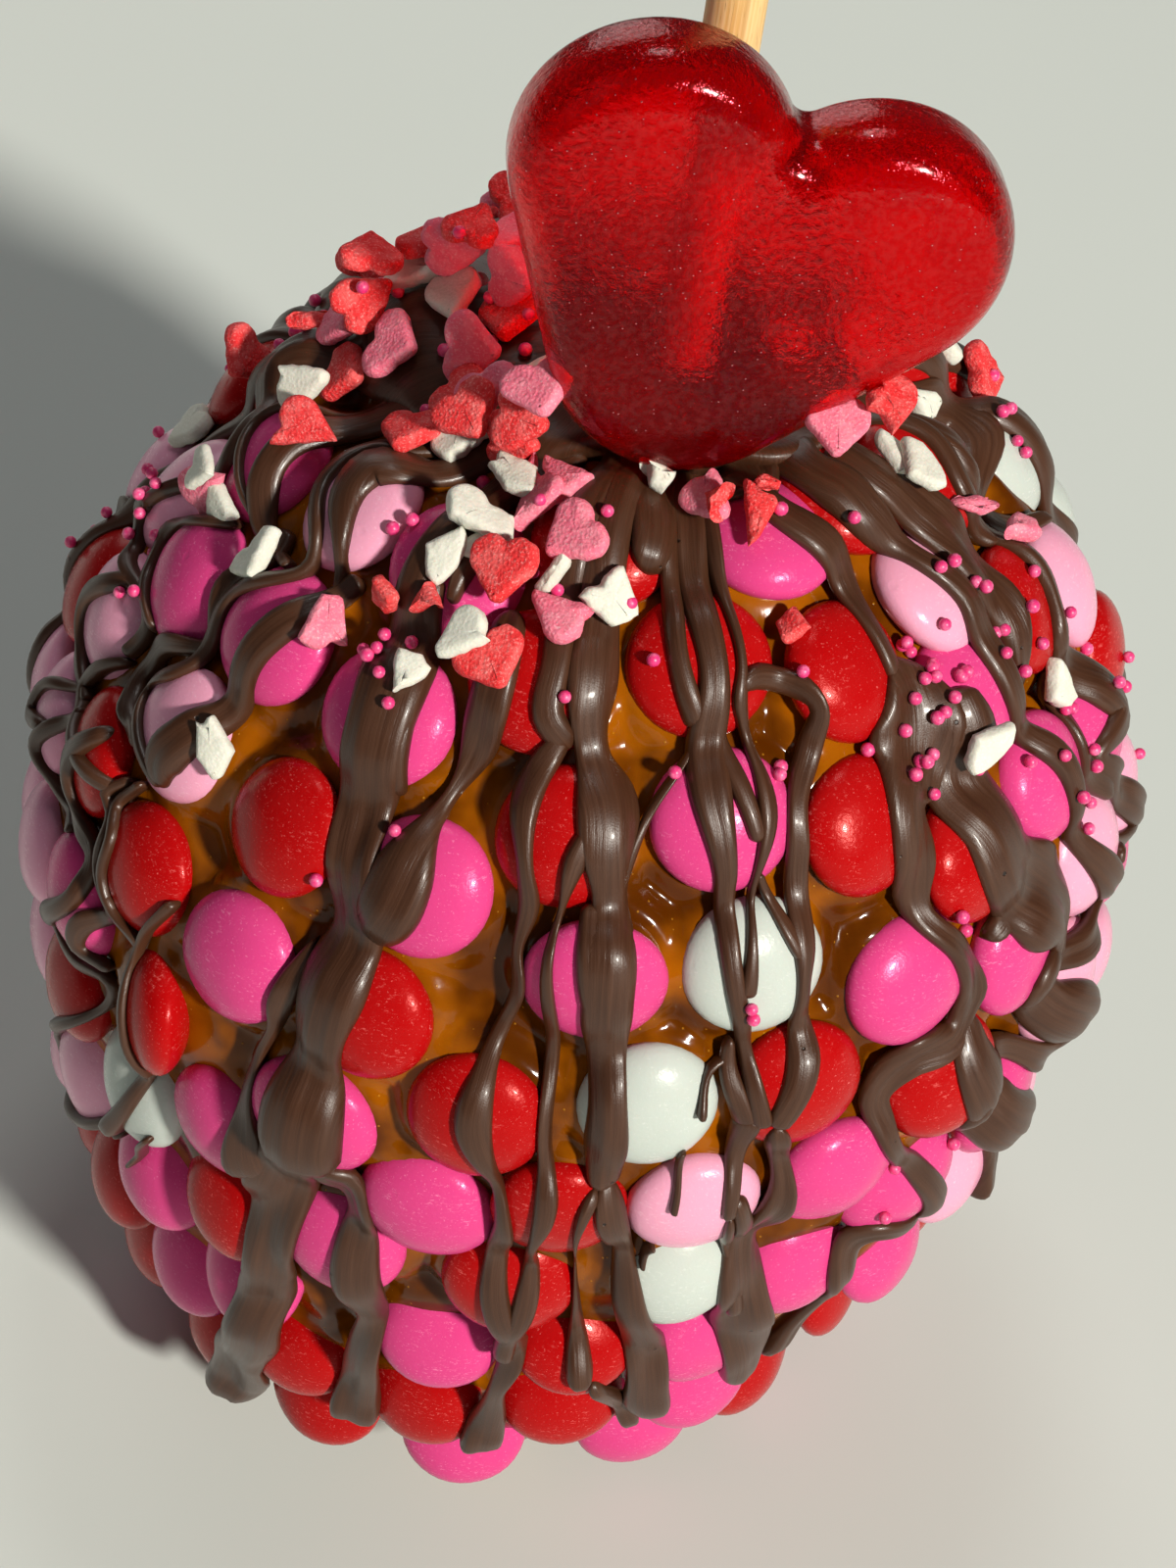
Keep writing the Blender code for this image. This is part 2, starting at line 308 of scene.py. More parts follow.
class Finish:
    """A material and the nodes behind its shader. Its lumps, cells and relief depth are in millimetres."""

    WORN = ("Base Color", "Roughness", "Normal", "Metallic", "Coat Weight")

    def __init__(self, name, constants):
        self.material = bpy.data.materials.new(name)
        self.material.use_nodes = True
        self.tree = self.material.node_tree
        self.shader = self.tree.nodes["Principled BSDF"]
        self.place = self.add("TexCoord", {}, {}, "Object")
        for socket, value in constants.items():
            self.shader.inputs[socket].default_value = value

    def add(self, kind, settings, values, output=0):
        """A node of a kind, its settings first and then what its sockets hold or link to."""
        node = self.tree.nodes.new("ShaderNode" + kind)
        for name, setting in settings.items():
            setattr(node, name, setting)
        for name, value in values.items():
            if isinstance(value, Value):
                self.tree.links.new(value.socket, node.inputs[name])
            else:
                node.inputs[name].default_value = value
        return Value(self, node.outputs[output])

    def stretched(self, scale):
        """The place, drawn out or pressed together along each axis."""
        return self.add("VectorMath", {"operation": "MULTIPLY"}, {0: self.place, 1: scale})

    def noise(self, size, detail=2.0, roughness=0.5, where=None):
        """Cloudy noise from 0 to 1 whose lumps have a size."""
        values = {"Vector": where or self.place, "Scale": 1 / (size * MM)}
        return self.add("TexNoise", {}, values | {"Detail": detail, "Roughness": roughness})

    def cells(self, size):
        """The distance, in cells, to the nearest of many scattered dots."""
        return self.add("TexVoronoi", {}, {"Vector": self.place, "Scale": 1 / (size * MM)})

    def mixed(self, share, first, second):
        """A colour between two colours."""
        return self.add("Mix", {"data_type": "RGBA"}, {0: share, 6: first, 7: second}, 2)

    def relief(self, height, depth):
        """The normal of a surface roughened by a height from 0 to 1, to a depth."""
        return self.add("Bump", {}, {"Height": height, "Distance": depth * MM, "Strength": 1.0})

    def wear(self, *varying):
        """Links what varies to the shader, in the order that WORN gives, and gives the material."""
        for socket, value in zip(self.WORN, varying):
            self.tree.links.new(value.socket, self.shader.inputs[socket])
        return self.material


def shade(red, green, blue):
    return (red, green, blue, 1.0)


def candy_shell(name, colour, paler):
    """A polished sugar shell: faintly mottled, with pale specks, rubbed patches and small dents."""
    shell = Finish(name, {
        "Specular IOR Level": 0.26, "Specular Tint": shade(*(0.1 + 0.9 * channel for channel in paler[:3])),
        "Coat Weight": 0.03, "Coat Roughness": 0.06, "Subsurface Weight": 0.05, "Subsurface Scale": 0.5 * MM,
    })
    mottle = shell.noise(2.6, 3)
    grain = shell.noise(0.38, 3, 0.6)
    specks = shell.noise(0.26, 2, 0.6).between(0.64, 0.71) * shell.noise(2.2)
    patches = shell.noise(4).between(0.45, 0.6)
    scuffs = shell.noise(0.8, 5, 0.75, shell.stretched((1, 1, 3))).between(0.56, 0.66) * patches
    dents = shell.cells(4.5).between(0.04, 0.12)
    return shell.wear(
        shell.mixed(0.9 * specks + 0.5 * scuffs + 0.04 * mottle, colour, paler),
        0.18 + 0.12 * mottle + 0.25 * scuffs,
        shell.relief(0.5 * grain + 0.4 * dents + 0.4 * mottle, 0.06),
    )


def caramel_finish():
    """Glossy amber caramel, deeper where it is thick, with fine bubbles caught in it."""
    caramel = Finish("caramel", {
        "Subsurface Weight": 0.1, "Subsurface Scale": 1.2 * MM, "Subsurface Radius": (1.0, 0.30, 0.02),
        "Specular IOR Level": 0.16, "Coat Weight": 0.05, "Coat Roughness": 0.03,
    })
    cloud, fine = caramel.noise(9, 3), caramel.noise(1.8)
    pulled = caramel.noise(3.2, 3, 0.5, caramel.stretched((1, 1, 0.35)))
    bubbles = 1 - caramel.cells(1.3).between(0.07, 0.11)
    amber = caramel.mixed(cloud.between(0.35, 0.65), shade(0.085, 0.019, 0.0003), shade(0.31, 0.084, 0.001))
    return caramel.wear(
        caramel.mixed(0.4 * bubbles, amber, shade(0.62, 0.27, 0.02)),
        0.08 + 0.10 * fine,
        caramel.relief(0.2 * fine + 0.3 * bubbles + 0.7 * cloud + 0.35 * pulled, 0.13),
    )


def chocolate_finish():
    """Set dark chocolate: satin, streaked along its flow, with a pinhole here and there, painted near black
    for the shade inside it.
    """
    sheen = {"Specular IOR Level": 0.40, "Coat Weight": 0.08, "Coat Roughness": 0.12}
    chocolate = Finish("dark_chocolate", sheen)
    across, along = (
        chocolate.add("Attribute", {"attribute_name": note}, {}, "Fac") for note in ("across", "along")
    )
    flow = chocolate.add("CombineXYZ", {}, {0: across, 1: 0.03 * along})
    streaks, bands = chocolate.noise(0.42, 4, 0.65, flow), chocolate.noise(1.6, where=flow)
    grain, cloud = chocolate.noise(0.16), chocolate.noise(6, 3)
    # pinholes: sunk by the relief, and painted near black as painted shade inside them
    pinholes_with_painted_shade = 1 - chocolate.cells(5).between(0.03, 0.055)
    deep, pale = shade(0.037, 0.0118, 0.0045), shade(0.092, 0.037, 0.018)
    brown = chocolate.mixed(0.45 * streaks.between(0.3, 0.75) + 0.4 * cloud, deep, pale)
    return chocolate.wear(
        # near black in the pinholes is painted shade
        chocolate.mixed(pinholes_with_painted_shade, brown, shade(0.012, 0.006, 0.004)),
        0.20 + 0.22 * streaks + 0.12 * cloud,
        chocolate.relief(0.6 * streaks + 0.5 * bands + 0.12 * grain - 0.8 * pinholes_with_painted_shade, 0.13),
    )


def sugar_finish(name, colour, paler, depth):
    """Pressed sugar: dull, grainy and a little uneven in colour, with crystals that catch the light."""
    glow = {"Specular IOR Level": 0.30, "Subsurface Weight": 0.1, "Subsurface Scale": 0.4 * MM}
    sugar = Finish(name, glow)
    grain, cloud = sugar.noise(0.26, 3, 0.75), sugar.noise(1.8)
    return sugar.wear(
        sugar.mixed(0.75 * grain.between(0.50, 0.72) + 0.25 * cloud.between(0.4, 0.7), colour, paler),
        0.75 - 0.4 * grain.between(0.6, 0.7),
        sugar.relief(0.7 * grain + 0.7 * sugar.cells(0.36), depth),
    )


def pearl_finish():
    pearl = Finish("sugar_pearl", {
        "Coat Weight": 0.2, "Coat Roughness": 0.3, "Subsurface Weight": 0.1, "Subsurface Scale": 0.4 * MM,
    })
    mottle = pearl.noise(0.7, 3)
    return pearl.wear(
        pearl.mixed(mottle.between(0.4, 0.8), shade(0.78, 0.035, 0.20), shade(0.95, 0.22, 0.42)),
        0.32 + 0.2 * mottle,
        pearl.relief(mottle, 0.03),
    )


def jelly_finish():
    """Clear red jelly, a little cloudy and coloured by its own depth, under a finely pebbled skin, with
    painted shade in dark blotches and painted glints in pale specks.
    """
    jelly = Finish("red_jelly", {
        "Transmission Weight": 0.955, "IOR": 1.40, "Specular Tint": shade(1.0, 0.10, 0.15),
        "Subsurface Weight": 1.0, "Subsurface Scale": 3 * MM, "Subsurface Radius": (1.0, 0.02, 0.03),
        "Coat Roughness": 0.10,
    })
    depth = jelly.add("VolumeAbsorption", {}, {"Color": shade(0.97, 0.02, 0.05), "Density": 300})
    jelly.tree.links.new(depth.socket, jelly.tree.nodes["Material Output"].inputs["Volume"])
    pebbles, waves = jelly.noise(0.6, 2, 0.6), jelly.noise(5)
    cloud = jelly.noise(9, 3).between(0.45, 0.65)
    # tiny specks, painted pale as painted glints, and made metallic and raised so that they catch the lamps
    # as well
    glint_specks = 1 - jelly.cells(0.85).between(0.06, 0.12)
    bubbles = 1 - jelly.cells(3.7).between(0.04, 0.06)
    # the red, with darker blotches painted in where the cloud rises: painted shade standing for dark
    # surroundings seen through the jelly
    red_with_painted_dark_blotches = jelly.mixed(cloud, shade(1.0, 0.003, 0.008), shade(0.75, 0.001, 0.014))
    return jelly.wear(
        # pale pink in the specks is a painted glint, laid over the red with its painted dark blotches
        jelly.mixed(glint_specks, red_with_painted_dark_blotches, shade(0.95, 0.35, 0.42)),
        0.07 + 0.10 * pebbles,
        jelly.relief(0.8 * pebbles + 0.5 * waves + 0.4 * glint_specks - 0.7 * bubbles, 0.13),
        0.75 * glint_specks,
        0.06 + 0.28 * pebbles.between(0.42, 0.62),
    )


def wood_finish():
    """Pale wood with fine grain running up the stick and a few darker pores."""
    wood = Finish("pale_wood", {})
    grain = wood.noise(0.35, 4, 0.6, wood.stretched((1, 1, 0.03)))
    bands = wood.noise(1.6, 3, 0.5, wood.stretched((1, 1, 0.06)))
    pores = wood.noise(0.16, 1, 0.5, wood.stretched((1, 1, 0.05))).between(0.66, 0.74)
    golden = wood.mixed(grain.between(0.3, 0.7), shade(0.72, 0.45, 0.15), shade(0.90, 0.66, 0.32))
    return wood.wear(
        wood.mixed(0.55 * pores + 0.35 * bands.between(0.5, 0.7), golden, shade(0.34, 0.17, 0.05)),
        0.45 + 0.2 * grain,
        wood.relief(0.7 * grain - 0.5 * pores, 0.06),
    )


def floor_finish():
    floor = Finish("pale_floor", {"Specular IOR Level": 0.0})
    cloud = floor.noise(200, 3)
    return floor.wear(floor.mixed(cloud, shade(0.68, 0.73, 0.70), shade(0.72, 0.77, 0.74)), 0.5 + 0.1 * cloud)


# ---- the candies ----

SHELLS = {
    "red": (shade(0.40, 0.0006, 0.0015), shade(0.82, 0.16, 0.15)),
    "pink": (shade(0.68, 0.050, 0.225), shade(0.88, 0.28, 0.48)),
    "pale_pink": (shade(0.84, 0.36, 0.52), shade(0.94, 0.62, 0.74)),
    "white": (shade(0.52, 0.57, 0.53), shade(0.66, 0.68, 0.65)),
}

# Candies beside those of the frame: longitude, distance down and shell
MORE_CANDIES = [
    (-105, 64, "pale_pink"), (-82, 50, "pale_pink"), (-71, 51, "pink"), (-100, 74, "red"), (-89, 72, "red"),
    (-43, 28, "pink"), (-69, 60, "pale_pink"), (-68, 69, "red"), (-32, 84, "pink"), (-41, 94, "white"),
    (-58, 112, "pale_pink"), (-57, 145, "red"), (-32, 116, "pink"), (-34, 101, "red"), (-6, 138, "red"),
    (2, 86, "red"), (12, 115, "red"), (37, 75, "red"), (39, 94, "pink"), (44, 88, "pink"),
    (55, 99, "pale_pink"), (24, 110, "pink"), (32, 133, "pink"), (34, 154, "pink"), (50, 146, "red"),
    (59, 123, "pink"), (45, 55, "red"), (49, 63, "pink"), (66, 65, "pale_pink"), (58, 33, "pale_pink"),
    (78, 41, "red"), (107, 42, "white"), (99, 64, "red"), (79, 72, "pale_pink"), (58, 73, "pale_pink"),
    (79, 85, "pale_pink"), (52, 24, "red"), (-77, 87, "pale_pink"), (-70, 78, "pale_pink"),
    (-86, 84, "pale_pink"), (-49, 78, "pink"), (-50, 87, "red"), (-60, 87, "pale_pink"),
]
SHELL_ODDS = {"red": 0.32, "pink": 0.34, "pale_pink": 0.22, "white": 0.12}
CANDY_TOP = 21 * MM  # candies lie between these distances down
CANDY_BOTTOM = 157 * MM
FRONT_HALF_WIDTH = math.radians(72)  # every candy in front, down to FRONT_BOTTOM, is one of those above
FRONT_BOTTOM = 128 * MM
CANDY_TRIES = 5000
CLOSEST = 0.93 * CANDY_ROOM  # how near a scattered candy may first lie to another
CANDY_TILT = 0.11


class Candies:
    """Where the candies lie and which way they face."""

    def __init__(self):
        self.longitude, self.down, self.shell = np.zeros(0), np.zeros(0), []
        self.axis, self.centre, self.nodes = np.zeros((0, 3)), np.zeros((0, 3)), []
        self.take_from_frame()
        held = len(self.nodes)
        for longitude, down, shell in MORE_CANDIES:
            self.lay(math.radians(longitude), down * MM, shell)
        self.scatter()
        self.settle(held)

    def take_from_frame(self):
        slots = {part["node"]: part["material_slot"] for part in frame["record"]["subparts"]}
        for node in sorted(name for name in frame["nodes"] if name.startswith("candy_")):
            points = np.array([vertex.co for vertex in frame["nodes"][node].data.vertices])
            centre = (points.min(0) + points.max(0)) / 2
            _, ways = np.linalg.eigh(np.cov((points - centre).T))
            longitude, down = place_of(centre)
            axis = ways[:, 0]
            axis = axis * np.sign(axis @ way_out(longitude, down))
            self.lay(longitude, down, slots[node].removeprefix("candy_"))
            self.axis = np.vstack([self.axis, axis])
            self.centre = np.vstack([self.centre, centre])
            self.nodes.append(node)

    def lay(self, longitude, down, shell):
        self.longitude = np.append(self.longitude, longitude)
        self.down = np.append(self.down, down)
        self.shell.append(shell)

    def scatter(self):
        """Adds candies at random wherever there is room, except in front."""
        random = np.random.default_rng(11)
        for _ in range(CANDY_TRIES):
            longitude = random.uniform(-math.pi, math.pi)
            down = random.uniform(CANDY_TOP, CANDY_BOTTOM)
            if random.uniform(0, WAIST_RADIUS) > radius_at(down):
                continue
            if abs(longitude) < FRONT_HALF_WIDTH and down < FRONT_BOTTOM:
                continue
            centres = on_caramel(self.longitude, self.down, CANDY_RISE)
            gaps = np.linalg.norm(centres - on_caramel(longitude, down, CANDY_RISE), axis=1)
            if gaps.min() > CLOSEST:
                shell = random.choice(list(SHELL_ODDS), p=list(SHELL_ODDS.values()))
                self.lay(longitude, down, str(shell))

    def settle(self, held, rounds=90):
        """Pushes candies that touch apart, except those that the frame holds."""
        for _ in range(rounds):
            centre = on_caramel(self.longitude, self.down, CANDY_RISE)
            centre[:held] = self.centre[:held]
            apart = centre[:, None] - centre[None]
            distance = np.linalg.norm(apart, axis=-1) + np.eye(len(centre))
            push = np.maximum(CANDY_ROOM - distance, 0) * (1 - np.eye(len(centre)))
            move = (apart * (push / distance / 2)[..., None]).sum(1)
            move[:held] = 0
            across, out = way_across(self.longitude), way_out(self.longitude, self.down)
            self.longitude += (move * across).sum(1) / radius_at(self.down)
            self.down -= (move * np.cross(out, across)).sum(1)
            self.down[held:] = np.clip(self.down[held:], CANDY_TOP, CANDY_BOTTOM)
        across, out = way_across(self.longitude), way_out(self.longitude, self.down)
        lift = LOW_LIFT * np.clip((self.down - WAIST_DOWN) / LOW_LIFT_REACH, 0, 1)[:, None]
        tilt = np.random.default_rng(5).normal(0, CANDY_TILT, out.shape)
        free = unit(out * np.cos(lift) + np.cross(out, across) * np.sin(lift) + tilt)
        self.axis = np.vstack([self.axis, free[held:]])
        self.centre = np.vstack([self.centre, on_caramel(self.longitude, self.down, CANDY_RISE)[held:]])


candies = Candies()


def lentil_points(around=36, bands=17):
    """Rings of points over a lentil of radius 1 about Z, its section a little sharper than an ellipse."""
    turn = np.linspace(0.045, 0.955, bands) * math.pi
    flat, tall = np.sin(turn), np.cos(turn)
    fullness = (flat**CANDY_RIM + np.abs(tall) ** CANDY_RIM) ** (-1 / CANDY_RIM)
    angle = round_turn(around)
    return np.stack([
        np.outer(flat * fullness, np.cos(angle)),
        np.outer(flat * fullness, np.sin(angle)),
        np.outer(tall * fullness, np.ones(around)),
    ], -1)


def add_candies():
    rings = lentil_points()
    random = np.random.default_rng(3)
    batches = {shell: Batch() for shell in SHELLS}
    for shell, axis, centre in zip(candies.shell, candies.axis, candies.centre):
        size = np.array([1, 1, 1]) + random.normal(0, 0.012, 3)
        points = rings * size * (CANDY_RADIUS, CANDY_RADIUS, CANDY_HALF_THICKNESS)
        spin = Matrix.Rotation(random.uniform(0, FULL_TURN), 3, "Z")
        turn = Vector(axis).to_track_quat("Z", "Y").to_matrix() @ spin
        points = points @ np.array(turn).T + centre
        points += 0.07 * MM * unevenness(points, 7 * MM, 21)[..., None] * axis
        batches[shell].add(*closed_tube(points))
    for shell, batch in batches.items():
        finish = candy_shell(shell + "_sugar_shell", *SHELLS[shell])
        nodes = [node for node, own in zip(candies.nodes, candies.shell) if own == shell]
        add_batch("candies_" + shell, finish, "candy_" + shell, batch, nodes)


# ---- the reliefs that everything lies on ----

MENISCUS = 1.7 * MM  # how high the caramel climbs at a candy
MENISCUS_WIDTH = 1.4 * MM
CANDY_REACH = 13 * MM  # up or down the apple from a candy's middle, past all that it changes
NO_CANDY = -10 * MM
# How steeply chocolate falls away past a candy's lip, at distances down
STEEPEST_FALLS = ([0, WAIST_DOWN - 10 * MM, WAIST_DOWN + 30 * MM], [1.4, 0.8, 0.12])


def lay_reliefs():
    """The height of the caramel, and of whatever is outermost, candy or caramel."""
    longitude, down = Relief.places()
    base, out = on_caramel(longitude, down), way_out(longitude, down)
    candy = np.full(longitude.shape, NO_CANDY)
    climb = np.zeros(longitude.shape)
    for centre, axis, candy_down in zip(candies.centre, candies.axis, candies.down):
        rows = slice(*np.searchsorted(down[:, 0], [candy_down - CANDY_REACH, candy_down + CANDY_REACH]))
        away = base[rows] - centre
        away_axis, out_axis = away @ axis, out[rows] @ axis
        flat_square = np.maximum((away**2).sum(-1) - away_axis**2, 0)
        both = (away * out[rows]).sum(-1) - away_axis * out_axis
        steep = (1 - out_axis**2) / CANDY_RADIUS**2 + out_axis**2 / CANDY_HALF_THICKNESS**2
        half = both / CANDY_RADIUS**2 + away_axis * out_axis / CANDY_HALF_THICKNESS**2
        rest = flat_square / CANDY_RADIUS**2 + away_axis**2 / CANDY_HALF_THICKNESS**2 - 1
        inside = half**2 - steep * rest
        height = np.where(inside > 0, (np.sqrt(np.maximum(inside, 0)) - half) / steep, NO_CANDY)
        candy[rows] = np.maximum(candy[rows], height)
        past_rim = np.maximum(np.sqrt(flat_square) - CANDY_RADIUS, 0)
        near = np.exp(-((past_rim / MENISCUS_WIDTH) ** 2)) * (np.abs(away_axis) < 9 * MM)
        climb[rows] = np.maximum(climb[rows], near)
    lumps = 0.4 * unevenness(base, 16 * MM, 1) + 0.15 * unevenness(base, 6 * MM, 2)
    caramel = lumps * MM - 0.4 * MM + MENISCUS * climb
    caramel *= np.clip((DOWN_END - down) / (6 * MM), 0, 1)
    return Relief(caramel), Relief(np.maximum(candy, caramel))


def run_down(relief):
    """What chocolate follows as it runs: past a lip it falls away only so steeply, less so low down."""
    values = relief.values.copy()
    down = np.linspace(0, DOWN_END, Relief.ROWS)
    steepest = np.interp(down, *STEEPEST_FALLS)
    falls = steepest * down[1]
    side_falls = np.maximum(steepest, 0.35) * radius_at(down) * FULL_TURN / Relief.COLUMNS
    for row in range(1, Relief.ROWS):
        above = values[row - 1]
        beside = np.maximum(np.roll(above, 1), np.roll(above, -1)) - side_falls[row]
        values[row] = np.maximum(values[row], np.maximum(above, beside) - falls[row])
    return Relief(values)


caramel_relief, outer_relief = lay_reliefs()
bridged = np.maximum(outer_relief.values, outer_relief.softened(1.9 * MM).values)
drape = run_down(Relief(bridged)).softened(0.7 * MM)
level = outer_relief.softened(6 * MM)


def add_caramel():
    """The whole coat of caramel, closed under the foot."""
    longitude, down = np.meshgrid(round_turn(400), np.linspace(1 * MM, DOWN_END, 215))
    rings = on_caramel(longitude, down, caramel_relief.at(longitude, down))
    rings[..., 2] = np.maximum(rings[..., 2], 0)
    add_piece("caramel_coat", caramel_finish(), "caramel", *closed_tube(rings), replaced=["apple"])


# ---- the chocolate ----

# How far down the chocolate cap reaches at longitudes round the apple
CAP_RIM = [
    (-170, 27), (-140, 30), (-110, 33), (-85, 30), (-62, 22), (-40, 19), (-20, 14.5), (5, 13.5),
    (30, 15.5), (55, 17), (80, 18), (110, 22), (145, 26),
]
CAP_THICKNESS = 1.6 * MM
HEAP_RISE = 3.2 * MM
HEAP_WIDTH = 12 * MM
HEAP_PLACE = (-12 * MM, 9 * MM)
NEST_RISE = 1.9 * MM  # how far the chocolate comes up round the foot of the jelly heart
NEST_WIDTH = 10 * MM
NEST_DEPTH = 7.5 * MM

